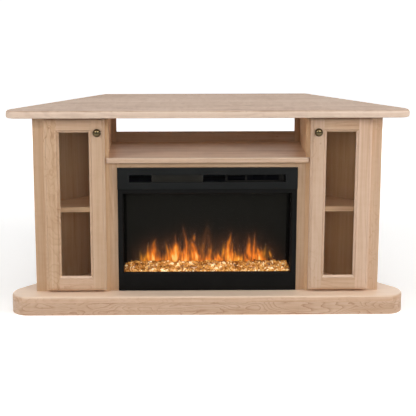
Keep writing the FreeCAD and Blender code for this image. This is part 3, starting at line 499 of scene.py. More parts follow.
GRAIN_ALONG_X = sided(
    "top_panel plinth_board plinth_front_rail plinth_back_rail plinth_side_rail_ media_shelf "
    "shelf_nosing rear_shelf_rail rear_top_rail cabinet_shelf_ door_top_rail_ door_bottom_rail_"
)
GRAIN_UPRIGHT = sided(
    "divider_ end_panel_ side_back_panel_ outer_stile_ inner_stile_ rear_stile_ back_panel "
    "door_hinge_stile_ door_knob_stile_"
)
SLANTED = {"plinth_side_rail_right": "SLANT_RIGHT", "plinth_side_rail_left": "SLANT_LEFT"}

# What sets each board, or pair of boards, apart from plain maple.
BOARDS = {
    "top_panel": dict(tone=1.07, warm=-1.4, figure=2.2, contours=0.50, staves=0.096),
    "plinth_board": dict(tone=1.10, warm=-1.0, figure=1.5, contours=0.30, staves=0.094),
    "plinth_front_rail": dict(tone=1.06, warm=-1.0, figure=1.6, contours=1.0),
    "plinth_side_rail": dict(contours=0.6),
    "media_shelf": dict(tone=1.05, warm=-0.6, staves=0.090),
    "shelf_nosing": dict(tone=1.02, warm=-1.2),
    # The cabinet shelves are made much paler than plain maple: painted light for the lamp light
    # on their front edges behind the door glass.
    "cabinet_shelf_right": dict(tone=1.30, warm=-1.2),
    "cabinet_shelf_left": dict(tone=1.38, warm=-1.2),
    "divider": dict(tone=1.15, dull=True),
    "end_panel_right": dict(tone=1.05),
    "end_panel_left": dict(tone=0.99),
    "side_back_panel": dict(dull=True),
    "back_panel": dict(tone=0.93, dull=True),
    # The rear stiles and the rear shelf rail are made darker: painted shade at the back of the
    # media bay.
    "rear_stile": dict(tone=0.92, dull=True),
    "rear_shelf_rail": dict(tone=0.76, dull=True),
    "rear_top_rail": dict(dull=True),
    "outer_stile_right": dict(tone=1.05, squiggles=0.25),
    "outer_stile_left": dict(tone=0.98),
    "inner_stile_right": dict(tone=1.02, warm=1.2, dull=True),
    "inner_stile_left": dict(warm=1.4, dull=True),
    "door_hinge_stile_right": dict(tone=1.12, warm=-1.5),
    "door_hinge_stile_left": dict(tone=0.99, figure=1.5, squiggles=0.6, contours=0.4),
    "door_knob_stile_right": dict(tone=0.98, figure=1.2, squiggles=0.25),
    "door_knob_stile_left": dict(tone=0.96),
    "door_top_rail_right": dict(tone=0.97, contours=0.35),
    "door_top_rail_left": dict(tone=0.97, warm=-0.6),
    "door_bottom_rail_right": dict(tone=1.02, contours=0.45),
    "door_bottom_rail_left": dict(tone=1.02, contours=0.55),
}

# Painted light and shade by height: pale tints that paint the light and sheen on the top's front
# edge, the plinth board's top and the nosing's upper edge, and a dark tint that paints the
# shadow under the top on the doors, stiles and dividers. Each gives: which boards, the node
# whose top they are measured from, the heights over that top in mm where the tint starts and
# where it is full, its colour and its share.
UPRIGHTS_IN_TOP_SHADOW = ("door_", "outer_stile", "inner_stile", "divider")
PAINTED_LIGHT_AND_SHADE = (
    ("plinth_board", "plinth_board", -5.0, -0.5, (0.92, 0.73, 0.57), 0.76),
    ("top_panel", "top_panel", -1.0, -4.5, (0.84, 0.690, 0.575), 0.55),
    ("shelf_nosing", "shelf_nosing", -3.5, -0.2, (0.86, 0.730, 0.590), 0.5),
    (UPRIGHTS_IN_TOP_SHADOW, "divider_right", -19.0, -11.5, (0.17, 0.095, 0.052), 0.62),
)


def dress(name, material):
    """Give a CAD node its material."""
    mesh = nodes[name].data
    mesh.materials.clear()
    mesh.materials.append(material)


def zones_of(name):
    """A board's tints of painted light and shade, with their heights in metres."""
    zones = []
    for boards, measured_from, start, end, color, share in PAINTED_LIGHT_AND_SHADE:
        if name.startswith(boards):
            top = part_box(measured_from)[1].z
            zones.append((top + start * MM, top + end * MM, color, share))
    return zones


def dress_wood():
    """Give every wooden node its own board of maple."""
    named = [(n, "X") for n in GRAIN_ALONG_X] + [(n, "Z") for n in GRAIN_UPRIGHT]
    for seed, (name, grain) in enumerate(named, start=11):
        pair = name.rsplit("_", 1)[0]
        looks = {"warm": math.sin(seed * 1.9), "zones": zones_of(name)}
        looks |= BOARDS.get(name) or BOARDS.get(pair, {})
        looks["tone"] = looks.get("tone", 1.0) * (1 + 0.02 * math.sin(seed * 2.7))
        dress(name, maple("maple_" + name, SLANTED.get(name, grain), seed, **looks))


def make_surround():
    """The recessed surround as its three boards: two strips and the head between them."""
    (left, right), (front, back), (low, top) = span_of("firebox_surround")
    strip_wide, head_tall, joint_gap, ease = 38, 28, 0.15, 0.5
    inner_left, inner_right = left + strip_wide, right - strip_wide
    head_sides = inner_left + joint_gap, inner_right - joint_gap
    boards = (
        ("surround_strip_right", (inner_right, right, low, top), "Z", 71),
        ("surround_strip_left", (left, inner_left, low, top), "Z", 72),
        ("surround_head", (*head_sides, top - head_tall, top), "X", 73),
    )
    # A painted shadow: a dark line along the head's top, where the shelf nosing shades it.
    painted_shadow = ((top - 5.5) * MM, (top - 2.5) * MM, (0.13, 0.075, 0.042), 0.82)
    for name, (x0, x1, z0, z1), grain, seed in boards:
        mesh = finished(eased_box(row(x0, front, z0), row(x1, back, z1), ease * MM), name)
        zones = [painted_shadow] if name == "surround_head" else []
        wood = maple("maple_" + name, grain, seed, warm=0.8, zones=zones)
        stands_for = ["firebox_surround"] if name == "surround_strip_right" else []
        piece(name, mesh, wood, "cabinet", stands_for)


# -------- doors

DOOR_BOARDS = ("hinge_stile", "knob_stile", "top_rail", "bottom_rail")


def groove_ring(side_sign, left, right, low, high, half, deep):
    """A mitred ring of V section that cuts a narrow groove in a door's face."""
    front = span_of("door_hinge_stile_right")[1][0]
    clear = front - 0.3
    corners = []
    for offset, back in ((half, clear), (0.0, front + deep), (-half, clear)):
        x0, x1, z0, z1 = left - offset, right + offset, low - offset, high + offset
        ring = ((x0, z0), (x1, z0), (x1, z1), (x0, z1))
        corners.extend(row(side_sign * x, back, z) for x, z in ring)
    round_and_round = np.pad(np.arange(len(corners)).reshape(3, 4), (0, 1), "wrap")
    return mesh_of("quirk", corners, quads(round_and_round))


def quirk_cutter(side_sign):
    """The grooves of a door: one round the glass's bead, one inside the edge's bevel."""
    bead, edge_inset = 9, 8.6
    left, right = span_of("door_top_rail_right")[0]
    low = span_of("door_bottom_rail_right")[2][1] - bead
    high = span_of("door_top_rail_right")[2][0] + bead
    outer_left = span_of("door_knob_stile_right")[0][0] + edge_inset
    outer_right = span_of("door_hinge_stile_right")[0][1] - edge_inset
    door_low, door_high = span_of("door_hinge_stile_right")[2]
    edges = (outer_left, outer_right, door_low + edge_inset, door_high - edge_inset)
    shape = bmesh.new()
    shape.from_mesh(groove_ring(side_sign, left, right, low, high, half=1.3, deep=2.1))
    shape.from_mesh(groove_ring(side_sign, *edges, half=0.9, deep=1.3))
    return finished(shape, "quirk", smooth=False)


def grooved(board, cutter):
    """The mesh of a CAD board with the cutter's grooves taken out of it."""
    shape = bmesh.new()
    shape.from_mesh(board.data)
    shape.transform(board.matrix_world)
    bmesh.ops.remove_doubles(shape, verts=shape.verts[:], dist=1e-6)
    bmesh.ops.dissolve_limit(shape, angle_limit=0.01, verts=shape.verts[:], edges=shape.edges[:])
    plain = bpy.data.objects.new("plain", finished(shape, "plain", smooth=False))
    bpy.context.scene.collection.objects.link(plain)
    modifier = plain.modifiers.new("groove", "BOOLEAN")
    modifier.operation = "DIFFERENCE"
    modifier.solver = "EXACT"
    modifier.object = cutter
    graph = bpy.context.evaluated_depsgraph_get()
    mesh = bpy.data.meshes.new_from_object(plain.evaluated_get(graph))
    bpy.data.objects.remove(plain)
    return mesh


def make_beaded_doors():
    """The door boards with the fine groove that sets off the bead round the glass."""
    for side, sign in (("right", 1), ("left", -1)):
        cutter = bpy.data.objects.new("quirk_" + side, quirk_cutter(sign))
        bpy.context.scene.collection.objects.link(cutter)
        for board in DOOR_BOARDS:
            name = f"door_{board}_{side}"
            wood = nodes[name].data.materials[0]
            mesh = grooved(nodes[name], cutter)
            piece(f"beaded_{board}_{side}", mesh, wood, side + "_door", [name])
        bpy.data.objects.remove(cutter)


# -------- doors' hardware


def knob_centre(side):
    """The middle of a knob, across and up, in mm."""
    (left, right), _, (low, high) = span_of("knob_" + side)
    return (left + right) / 2, (low + high) / 2


def make_knobs(brass):
    """Mushroom knobs: a domed face with a turned ring, a waist and a foot."""
    dome = [(15 * math.sin(t), -9.0 - 15 * math.cos(t)) for t in np.radians(range(0, 91, 6))]
    waist = [(14.4, -7.6), (12.6, -6.9), (9.0, -6.6), (6.2, -6.0), (5.6, -4.8), (5.8, -3.4)]
    foot = [(7.2, -2.2), (8.8, -1.5), (9.0, -0.7), (8.8, -0.05)]
    stud = [(2.0, -0.05), (2.0, 14.0), (0, 14.0)]
    door_front = span_of("door_knob_stile_right")[1][0]
    for side in ("right", "left"):
        x, z = knob_centre(side)
        shape = lathe(dome + waist + foot + stud, row(x, door_front, z))
        name = "turned_knob_" + side
        piece(name, finished(shape, name), brass, side + "_door", ["knob_" + side])


def brass_material():
    """Antiqued brass, dark round the rim and foot and rubbed bright on the dome."""
    g = Graph("antique_brass")
    place = g.place()
    parts = g.parts(place)
    knob_x, knob_z = knob_centre("right")
    across = g.math("SUBTRACT", g.math("ABSOLUTE", parts[0]), knob_x * MM)
    up = g.math("SUBTRACT", parts[2], knob_z * MM)
    reach = g.math("SQRT", g.math("ADD", g.math("POWER", across, 2.0), g.math("POWER", up, 2.0)))
    bright_radius, dark_radius = 8 * MM, 15 * MM
    rubbed = g.span(reach, bright_radius, dark_radius, 1.0, 0.0)
    patch = g.noise(place, 260, 4, 0.6, 0.5)
    lines = g.noise(place, 1400, 2, 0.6)
    share = g.math("MULTIPLY", g.span(patch, 0.25, 0.6, 0.55, 1.0), rubbed, clamp=True)
    color = g.mix(share, (0.100, 0.075, 0.037), (0.125, 0.096, 0.050))
    return g.principled(
        {
            "Base Color": color,
            "Metallic": 1.0,
            "Roughness": g.span(patch, 0.3, 0.7, 0.27, 0.19),
            "Normal": g.bump(lines, 0.00003, 0.3),
        }
    )


# -------- firebox front


def make_grille(material):
    """A stamped steel plate: staggered rows of small lozenge holes inside a plain border."""
    (x0, x1), (front, rear), (z0, z1) = span_of("outlet_grille")
    pitch_x, pitch_z, hole_x, hole_z = 4.6, 3.6, 2.0, 1.5
    columns, rows, low = 36, 7, 486.0
    left = (x0 + x1 - columns * pitch_x) / 2
    x_lines = [x0, *(left + k * pitch_x for k in range(columns + 1)), x1]
    z_lines = [z0, *(low + k * pitch_z for k in range(rows + 1)), z1]
    shape = bmesh.new()
    corners = {}

    def vert(x, z):
        key = (round(x, 3), round(z, 3))
        if key not in corners:
            corners[key] = shape.verts.new(row(x, front, z))
        return corners[key]

    for i, (xa, xb) in enumerate(zip(x_lines, x_lines[1:])):
        for j, (za, zb) in enumerate(zip(z_lines, z_lines[1:])):
            square = [vert(xa, za), vert(xb, za), vert(xb, zb), vert(xa, zb)]
            inside = 0 < i <= columns and 0 < j <= rows
            if not inside or (i + j) % 2:
                shape.faces.new(square)
                continue
            cx, cz = (xa + xb) / 2, (za + zb) / 2
            hole = [(cx, cz - hole_z), (cx + hole_x, cz), (cx, cz + hole_z), (cx - hole_x, cz)]
            ring = [vert(x, z) for x, z in hole]
            for k in range(4):
                after = (k + 1) % 4
                shape.faces.new([square[k], square[after], ring[after]])
                shape.faces.new([square[k], ring[after], ring[k]])
    grown = bmesh.ops.extrude_face_region(shape, geom=shape.faces[:])["geom"]
    back_verts = [item for item in grown if isinstance(item, bmesh.types.BMVert)]
    bmesh.ops.translate(shape, verts=back_verts, vec=(0, (rear - front) * MM, 0))
    mesh = finished(shape, "punched_grille", smooth=False)
    piece("punched_grille", mesh, material, "cabinet", ["outlet_grille"])


def panel_material():
    """Dark grey plastic with one glossy near-black window band printed across the buttons."""
    g = Graph("panel_plastic")
    place = g.place()
    parts = g.parts(place)
    spark = g.noise(place, 700, 2, 0.6)
    cloud = g.noise(place, (20, 20, 20), 3)
    middle_x, half_wide, middle_z, half_tall = 203.5, 58.5, 496.5, 9
    inside_x = g.math("COMPARE", parts[0], middle_x * MM, half_wide * MM)
    inside_z = g.math("COMPARE", parts[2], middle_z * MM, half_tall * MM)
    window = g.product(inside_x, inside_z)
    grey = g.mix(cloud, (0.017, 0.0165, 0.015), (0.024, 0.023, 0.021))
    return g.principled(
        {
            "Base Color": g.mix(window, grey, (0.0010, 0.0012, 0.0026)),
            "Roughness": g.span(cloud, 0.3, 0.7, 0.5, 0.42),
            "Specular IOR Level": 0.06,
            "Normal": g.bump(spark, 0.00005, 0.4),
        }
    )


def make_display(material):
    """The dark window of the control panel, beside the buttons, with its raised lip."""
    panel_left, panel_front = span_of("control_panel")[0][0], span_of("control_panel")[1][0]
    left, wide, low, tall, proud, ease = panel_left + 8, 64, 487.5, 18, 0.8, 0.3
    corner = row(left, panel_front - proud, low)
    far_corner = row(left + wide, panel_front, low + tall)
    mesh = finished(eased_box(corner, far_corner, ease * MM), "display_window")
    piece("display_window", mesh, material, "cabinet")


# -------- fire

# The height of the crystal bed's front edge, how many stones are thrown on it, and the
# least and the most that one measures, in mm.
BED_LOW, STONES, SMALLEST, LARGEST = 131.0, 1250, 6.0, 13.0


def crystal_bed():
    """The bed's half width, front and back in mm, within the tray's walls."""
    (_, tray_right), (tray_front, tray_back), _ = span_of("ember_tray")
    return tray_right - 3.2, tray_front + 1.5, tray_back - 1.2


def bed_height(bed, x, back):
    """The bed's height at a place: it rises to the back, and falls off at its ends."""
    half, front, rear = bed
    share = (back - front) / (rear - front)
    end = min(1.0, max(0.0, (half - abs(x)) / 16))
    swell = 1.6 * math.sin(x * 0.031 + 1.0) + 1.2 * math.sin(x * 0.11) + 3.0 * share
    bumps = 1.5 * math.sin(x * 0.067 + 0.5) + 1.1 * math.sin(x * 0.19 + 2.0)
    return BED_LOW + swell + (11.0 + bumps) * share**2 - 14 * (1 - end) * share


def stone_shapes(rng, kinds=14):
    """Broken stones about 1 across, each as its corners and the corners of each side."""
    stones = []
    for _ in range(kinds):
        shape = bmesh.new()
        spots = rng.normal(size=(9, 3))
        spots /= np.linalg.norm(spots, axis=1)[:, None]
        spots *= rng.uniform(0.72, 1.0, (9, 1)) * np.array([1.0, 0.85, 0.62])
        for spot in spots:
            shape.verts.new(spot)
        bmesh.ops.convex_hull(shape, input=shape.verts[:])
        bmesh.ops.recalc_face_normals(shape, faces=shape.faces[:])
        shape.verts.index_update()
        corners = np.array([v.co for v in shape.verts])
        stones.append((corners, [[v.index for v in face.verts] for face in shape.faces]))
        shape.free()
    return stones


def bed_slab(bed):
    """The closed body under the loose stones: its corners and faces."""
    half, front, rear = bed
    low = span_of("ember_crystals")[2][0] + 0.1
    across, deep = 120, 20
    corners = []
    for level in (0, 1):
        for j in range(deep + 1):
            for i in range(across + 1):
                x = half * (2 * i / across - 1)
                back = front + (rear - front) * j / deep
                corners.append(row(x, back, low if level else bed_height(bed, x, back)))
    index = np.arange(len(corners)).reshape(2, deep + 1, across + 1)
    faces = quads(index[0]) + [face[::-1] for face in quads(index[1])]
    for rim in (index[:, 0, :], index[:, -1, ::-1], index[:, ::-1, 0], index[:, :, -1]):
        faces += quads(rim[::-1])
    return corners, faces


def random_turn(rng):
    """A turn by any angle about any axis."""
    angle = rng.uniform(0, 2 * math.pi)
    return np.array(Matrix.Rotation(angle, 3, Vector(rng.normal(size=3)).normalized()))


def stone_tone(rng):
    """How light a stone is: a few are dark and a few are pale."""
    pick = rng.uniform()
    if pick < 0.08:
        return 0.0
    return rng.uniform(0.22, 0.62) if pick < 0.88 else 0.92


def make_crystals():
    """A bed of crushed glass in the tray, falling off where it meets the end walls."""
    rng = np.random.default_rng(5)
    shapes = stone_shapes(rng)
    bed = crystal_bed()
    half, front, rear = bed
    corners, faces = bed_slab(bed)
    tones = rng.uniform(0.0, 0.3, len(faces)).tolist()
    for number in range(STONES):
        x = rng.uniform(-half, half)
        back = rng.uniform(front, rear)
        size = rng.uniform(SMALLEST, LARGEST)
        if abs(x) + size > half or back - size < front or back + size > rear:
            continue
        height = bed_height(bed, x, back) + rng.uniform(-1.0, 3.4)
        if rng.uniform() < 0.10:
            height += rng.uniform(2.5, 5.0)
        spots, sides = shapes[number % len(shapes)]
        placed = (spots * size) @ random_turn(rng).T * MM + np.array(row(x, back, height))
        count = len(corners)
        corners.extend(placed.tolist())
        faces.extend([[count + k for k in side] for side in sides])
        tones.extend((stone_tone(rng) + rng.normal(0, 0.11, len(sides))).tolist())
    mesh = mesh_of("crushed_glass", corners, faces)
    tone = mesh.attributes.new("stone_tone", "FLOAT", "FACE")
    tone.data.foreach_set("value", tones)
    piece("crushed_glass", mesh, crystal_glass(), "cabinet", ["ember_crystals"])


def crystal_glass():
    """Amber glass, by each stone's own tone and paler towards the front, with a painted glow in
    that colour for the light from below.
    """
    g = Graph("crushed_glass")
    place = g.place()
    parts = g.parts(place)
    tone = g.put("Attribute", attribute_name="stone_tone").outputs["Fac"]
    inner = g.noise(place, 110, 2, 0.55, 0.8)
    patch = g.noise(place, (13, 20, 22), 2)
    paler = g.span(parts[1], FRONT + 82 * MM, FRONT + 130 * MM, 0.24, 0.0)
    value = g.math("ADD", g.swing(g.swing(tone, inner, 0.7), patch, 0.7), paler)
    color = g.ramp(
        value,
        [
            (0.0, (0.150, 0.048, 0.010)),
            (0.25, (0.36, 0.135, 0.024)),
            (0.50, (0.57, 0.262, 0.057)),
            (0.76, (0.80, 0.475, 0.155)),
            (1.0, (1.0, 0.830, 0.520)),
        ],
    )
    return g.principled(
        {
            "Base Color": color,
            "Roughness": g.span(inner, 0.3, 0.7, 0.16, 0.34),
            "Specular IOR Level": 0.34,
            "Coat Weight": 0.08,
            "Coat Roughness": 0.08,
            # A painted glow: the stones give off their own colour, standing in for the light
            # from below.
            "Emission Color": color,
            "Emission Strength": 0.51,
        }
    )


# Each flame, in mm: where its foot is across and up, how tall it is, how far its tip leans
# and its middle bows to the right, and its half width; then its brightness and its gold.
FLAMES = (
    (-241, 138, 58, -15, 0, 6, 0.45, 1.0),
    (-235, 138, 36, 5, 0, 4, 0.55, 1.0),
    (-220, 145, 74, 1, -4, 3, 0.80, 0.4),
    (-208, 126, 16, -8, 0, 6, 0.90, 0.0),
    (-197, 126, 112, 6, -8, 11, 1.10, 0.0),
    (-189, 134, 44, -1, 0, 3, 0.60, 0.0),
    (-175, 137, 60, -6, 0, 7, 0.30, 0.2),
    (-156, 137, 44, 4, 0, 9, 0.80, 0.3),
    (-144, 137, 92, -14, 4, 3, 0.75, 0.3),
    (-122, 129, 125, 6, 1, 9, 1.15, 0.0),
    (-127, 150, 54, -12, 0, 4, 0.90, 0.0),
    (-112, 150, 52, 15, 0, 4, 0.85, 0.0),
    (-91, 133, 56, -2, 0, 5, 0.60, 0.0),
    (-78, 125, 84, -5, 0, 14, 1.05, 0.0),
    (-73, 180, 112, -18, 3, 3, 0.55, 0.0),
    (-46, 228, 26, -1, 0, 2, 0.55, 0.2),
    (-45, 140, 64, -18, 0, 3, 0.60, 0.2),
    (-26, 128, 114, -38, 0, 12, 1.05, 0.0),
    (-33, 160, 62, -18, 0, 5, 0.80, 0.0),
    (-14, 129, 180, 22, -6, 10, 0.17, 0.2),
    (12, 138, 162, -6, 2, 8, 0.21, 0.2),
    (4, 127, 50, 4, 0, 13, 1.05, 0.0),
    (16, 165, 56, 6, 0, 4, 0.50, 0.3),
    (33, 134, 40, 4, 0, 4, 1.00, 0.0),
    (43, 134, 48, 3, 0, 10, 0.80, 0.2),
    (56, 148, 24, -10, 0, 3, 1.10, 0.0),
    (62, 165, 56, 8, 0, 4, 0.45, 0.6),
    (93, 124, 142, 4, -12, 9, 1.15, 0.1),
    (96, 150, 70, 6, -1, 4, 0.95, 0.2),
    (108, 136, 26, -1, 0, 3, 0.70, 0.6),
    (130, 131, 58, -24, 0, 12, 1.05, 0.6),
    (159, 140, 118, 1, 1, 7, 0.80, 0.0),
    (158, 143, 30, -12, 0, 3, 0.85, 0.0),
    (166, 158, 42, 1, 0, 3, 0.55, 0.0),
    (180, 134, 128, 4, 0, 5, 0.95, 0.0),
    (203, 130, 74, -14, 5, 9, 1.20, 0.0),
    (212, 170, 22, 0, 0, 2, 0.45, 0.3),
    (219, 164, 58, 3, 2, 4, 0.35, 1.0),
    (227, 136, 30, -10, 0, 7, 0.40, 0.1),
    (244, 160, 34, -8, 0, 2, 0.80, 0.8),
    (249, 136, 24, 4, 0, 11, 0.22, 0.0),
)
# Half a flame's width at its tip, in mm, and what its own half width counts for; how far it
# fades out below its foot, in mm; and the power that shapes its edge.
TIP_HALF, BODY_HALF, FOOT_FADE, FLAME_EDGE = 1.2, 1.15, 9, 1.6

# The flames' colour as they grow brighter: red, green and blue at each level of light.
LIGHT_LEVELS = (0, 0.1, 0.3, 0.6, 0.85, 1.1, 1.5)
LIGHT_COLORS = (
    (0, 0.060, 0.235, 0.66, 0.95, 1.0, 1.0),
    (0, 0.018, 0.058, 0.142, 0.215, 0.33, 0.56),
    (0, 0.006, 0.009, 0.010, 0.014, 0.035, 0.16),
)
HAZE, VEIL, EDGE_LINE = (0.135, 0.062, 0.036), (0.0088, 0.0083, 0.0068), (0.0042, 0.0042, 0.0040)
# Places on the screen in mm: where the embers' glow starts to fade, the height where the grey
# veil ends, how far out the lit sheet reaches, and the thin line of light beside its end.
EMBER_LINE, VEIL_TOP, LIT_HALF, LINE_HALF = 134, 448, 301, 299.5
TRAIL_FADE = 13.0
# The heights in mm between which the flames lie, and the rows of points there and above it.
FLAMES_LOW, FLAMES_HIGH, FINE_ROWS, PLAIN_ROWS = 120, 310, 160, 24


def value_noise(rng, shape, cells):
    """Smooth noise on a grid, from -0.5 to 0.5."""
    grid = rng.uniform(-0.5, 0.5, (cells[0] + 2, cells[1] + 2))
    r = np.linspace(0, cells[0], shape[0])[:, None]
    c = np.linspace(0, cells[1], shape[1])[None, :]
    r0, c0 = np.floor(r).astype(int), np.floor(c).astype(int)
    fr, fc = r - r0, c - c0
    fr, fc = fr * fr * (3 - 2 * fr), fc * fc * (3 - 2 * fc)
    top = grid[r0, c0] * (1 - fc) + grid[r0, c0 + 1] * fc
    low = grid[r0 + 1, c0] * (1 - fc) + grid[r0 + 1, c0 + 1] * fc
    return top * (1 - fr) + low * fr


def blurred(field, across, up):
    """A field spread by a bell curve, whose reach is given in grid steps."""
    for axis, reach in ((1, across), (0, up)):
        steps = np.arange(-3 * reach, 3 * reach + 1)
        bell = np.exp(-0.5 * (steps / reach) ** 2)
        bell /= bell.sum()
        field = np.apply_along_axis(np.convolve, axis, field, bell, mode="same")
    return field


def flame_light(x, z):
    """How bright and how golden the flames are at places across and up the screen, in mm."""
    power, golden = np.zeros_like(x), np.zeros_like(x)
    for foot, start, height, lean, bow, half, glow, gold in FLAMES:
        rise = np.clip((z - start) / height, 0, 1)
        middle = foot + lean * rise + bow * np.sin(math.pi * rise)
        spread = TIP_HALF + BODY_HALF * half * (1 - rise) ** 1.2 * (1 + 0.9 * rise)
        below = np.clip(1 + (z - start) / FOOT_FADE, 0, 1)
        side = np.exp(-((np.abs(x - middle) / spread) ** FLAME_EDGE))
        up = (1 - rise) ** 0.9 * (0.62 + 0.5 * np.clip(rise / 0.25, 0, 1))
        lit = (glow * up * below * side) ** FLAME_EDGE
        power += lit
        golden += gold * lit
    return power ** (1 / FLAME_EDGE), golden / (power + 1e-6)


def smoke_trail(body, step):
    """The light that each place carries on upwards, fading as it goes."""
    fade = math.exp(-step / TRAIL_FADE)
    trail = np.zeros_like(body)
    carried = np.zeros(body.shape[1])
    for line in range(len(body)):
        carried = np.maximum(carried * fade, body[line])
        trail[line] = carried
    return blurred(trail, 3, 4)


def flame_colors(x, z):
    """The light of the flame screen at places across and up it, in mm."""
    rng = np.random.default_rng(9)
    sway = value_noise(rng, x.shape, (14, 44)) * 4.2 + value_noise(rng, x.shape, (34, 120)) * 2.6
    body, golden = flame_light(x + sway, z)
    streaks = value_noise(rng, x.shape, (9, 190)) + 0.7 * value_noise(rng, x.shape, (20, 260))
    grain = value_noise(rng, x.shape, (40, 300))
    lick = value_noise(rng, x.shape, (16, 70)) + 0.6 * value_noise(rng, x.shape, (30, 110))
    body = np.clip(body * (1 + 0.34 * streaks + 0.2 * grain + 0.6 * lick), 0, None)
    trail = smoke_trail(body, z[1, 0] - z[0, 0]) * (0.62 + 0.75 * streaks)
    glow = blurred(body, 6, 8)
    halo = blurred(body, 20, 22)
    haze = blurred(halo, 40, 34)
    bed = np.exp(-np.clip(z - EMBER_LINE, 0, None) / 15) * np.exp(-((x / 270) ** 6))
    level = 0.70 * body + 0.34 * trail + 0.26 * glow
    level += 0.46 * halo * (1 + 1.1 * streaks + 1.3 * lick)
    level = np.clip(level + 0.24 * bed * (1 + 1.5 * streaks), 0, 1.5)
    color = np.stack([np.interp(level, LIGHT_LEVELS, shade) for shade in LIGHT_COLORS], -1)
    gilt = np.clip(golden + 0.05 + 0.5 * lick, 0, 1.2)
    color[..., 1] *= 1 + 0.26 * gilt
    color[..., 0] *= 1 - 0.10 * gilt
    color += haze[..., None] * np.array(HAZE)
    veil = np.clip((VEIL_TOP - z) / 62, 0, 1) * (0.75 + 0.25 * np.clip((z - 200) / 120, 0, 1))
    color += veil[..., None] * np.array(VEIL)
    aside = np.abs(x)
    color *= np.where(aside > LIT_HALF, 0.12, 1.0)[..., None]
    edge_line = np.exp(-(((aside - LINE_HALF) / 1.6) ** 2)) * np.clip((452 - z) / 60, 0, 1)
    color += edge_line[..., None] * np.array(EDGE_LINE)
    return np.concatenate([color, np.ones((*x.shape, 1))], -1)


def screen_rows(low, high):
    """Heights of the sheet's rows of points, close together where the flames are."""
    fine = np.linspace(FLAMES_LOW, FLAMES_HIGH, FINE_ROWS)
    return np.concatenate([[low], fine, np.linspace(FLAMES_HIGH + 8, high, PLAIN_ROWS)])


def screen_light(xs, zs):
    """The flames' colours at the sheet's points, worked out on even rows first."""
    even = np.linspace(FLAMES_LOW, zs[-1], 300)
    light = flame_colors(*np.meshgrid(xs, even))
    spot = np.clip(np.searchsorted(even, zs) - 1, 0, len(even) - 2)
    share = np.clip((zs - even[spot]) / (even[1] - even[0]), 0, 1)[:, None, None]
    return light[spot] * (1 - share) + light[spot + 1] * share


def sheet_faces(index, rear):
    """The faces of a sheet with a fine front and a plain back of four corners."""
    a, b, c, d = rear
    return quads(index) + [
        [a, d, c, b],
        [*index[0, ::-1].tolist(), a, b],
        [*index[:, 0].tolist(), d, a],
        [*index[-1].tolist(), c, d],
        [*index[::-1, -1].tolist(), b, c],
    ]


def make_flames():
    """The flame screen: a solid sheet, fine where its front carries the flames' light."""
    (_, half), (front, back), (low, high) = span_of("flame_screen")
    xs, zs = np.linspace(-half, half, 520), screen_rows(low, high)
    x, z = np.meshgrid(xs, zs)
    sheet = np.stack([x.ravel(), np.full(x.size, front), z.ravel()], 1)
    rear = [(-half, back, low), (half, back, low), (half, back, high), (-half, back, high)]
    corners = np.concatenate([sheet, np.array(rear)]) * MM + np.array([0, FRONT, 0])
    faces = sheet_faces(np.arange(x.size).reshape(x.shape), range(x.size, x.size + len(rear)))
    mesh = mesh_of("flame_light", corners.tolist(), faces)
    painted = np.zeros((len(corners), 4), np.float32)
    painted[: x.size] = screen_light(xs, zs).reshape(-1, 4)
    paint = mesh.color_attributes.new("fire_light", "FLOAT_COLOR", "POINT")
    paint.data.foreach_set("color", painted.ravel())
    piece("flame_light", mesh, screen_plastic(), "cabinet", ["flame_screen"])


def screen_plastic():
    """Dark frosted plastic that gives off the light painted on its points."""
    g = Graph("flame_light")
    frost = g.noise(g.place(), 700, 2)
    return g.principled(
        {
            "Base Color": (0.003, 0.0028, 0.0026, 1),
            "Roughness": g.span(frost, 0.3, 0.7, 0.55, 0.7),
            "Specular IOR Level": 0.02,
            "Normal": g.bump(frost, 0.00004, 0.3),
            "Emission Color": g.put("Attribute", attribute_name="fire_light").outputs["Color"],
            "Emission Strength": 1.0,
        }
    )


# -------- the room


# How bright the room is to matt surfaces, and in front of the piece to shiny ones.
AMBIENT, FRONT_GLOSS = 0.16, 0.16
LAMP_COLOR = (1.0, 0.985, 0.965)
# Each lamp: where it is, what it looks at, its width, its watts, and whether it lights
# matt surfaces and shows in shiny ones.
LAMPS = (
    ("key_right", (3.2, -1.95, 1.9), (0.1, 0, 0.4), 0.8, 66, True, False),
    ("key_left", (-3.3, -1.9, 1.85), (-0.1, 0, 0.4), 0.8, 54, True, False),
    ("front", (0.0, -3.2, 2.1), (0, 0, 0.35), 1.5, 14, True, False),
    ("front_low", (0.0, -3.6, 1.0), (0, 0, 0.5), 1.3, 1.5, True, False),
    ("overhead", (0.0, -0.8, 3.2), (0, 0, 0.5), 1.4, 20, True, False),
    ("back_right", (1.9, 2.9, 0.45), (0, 0.1, 0.4), 1.2, 26, True, True),
    ("back_left", (-1.9, 2.9, 0.45), (0, 0.1, 0.4), 1.2, 26, True, True),
    ("box_right", (1.7, -1.9, 3.2), (0, 0, 0.6), 2.0, 125, False, True),
    ("box_left", (-1.9, -1.9, 3.2), (0, 0, 0.6), 2.0, 125, False, True),
)


def floor_paint():
    """Pale matt paint, lifted to white for the camera and in glass and gloss."""
    near, far, near_lift, far_lift = 0.9, 4.0, 0.42, 0.88
    g = Graph("floor")
    path = g.put("LightPath").outputs
    away = g.put("VectorMath", {0: g.place()}, operation="LENGTH").outputs["Value"]
    paint = {"Base Color": (0.86, 0.855, 0.85, 1), "Roughness": 0.9, "Specular IOR Level": 0.1}
    plain = g.put("BsdfPrincipled", paint).outputs[0]
    seen = g.math("MAXIMUM", path["Is Camera Ray"], path["Is Transmission Ray"])
    seen = g.math("MAXIMUM", seen, path["Is Glossy Ray"])
    lift = g.product(seen, g.span(away, near, far, near_lift, far_lift))
    shine = g.put("Emission", {"Strength": lift}).outputs[0]
    return g.finish(g.put("AddShader", {0: plain, 1: shine}).outputs[0])


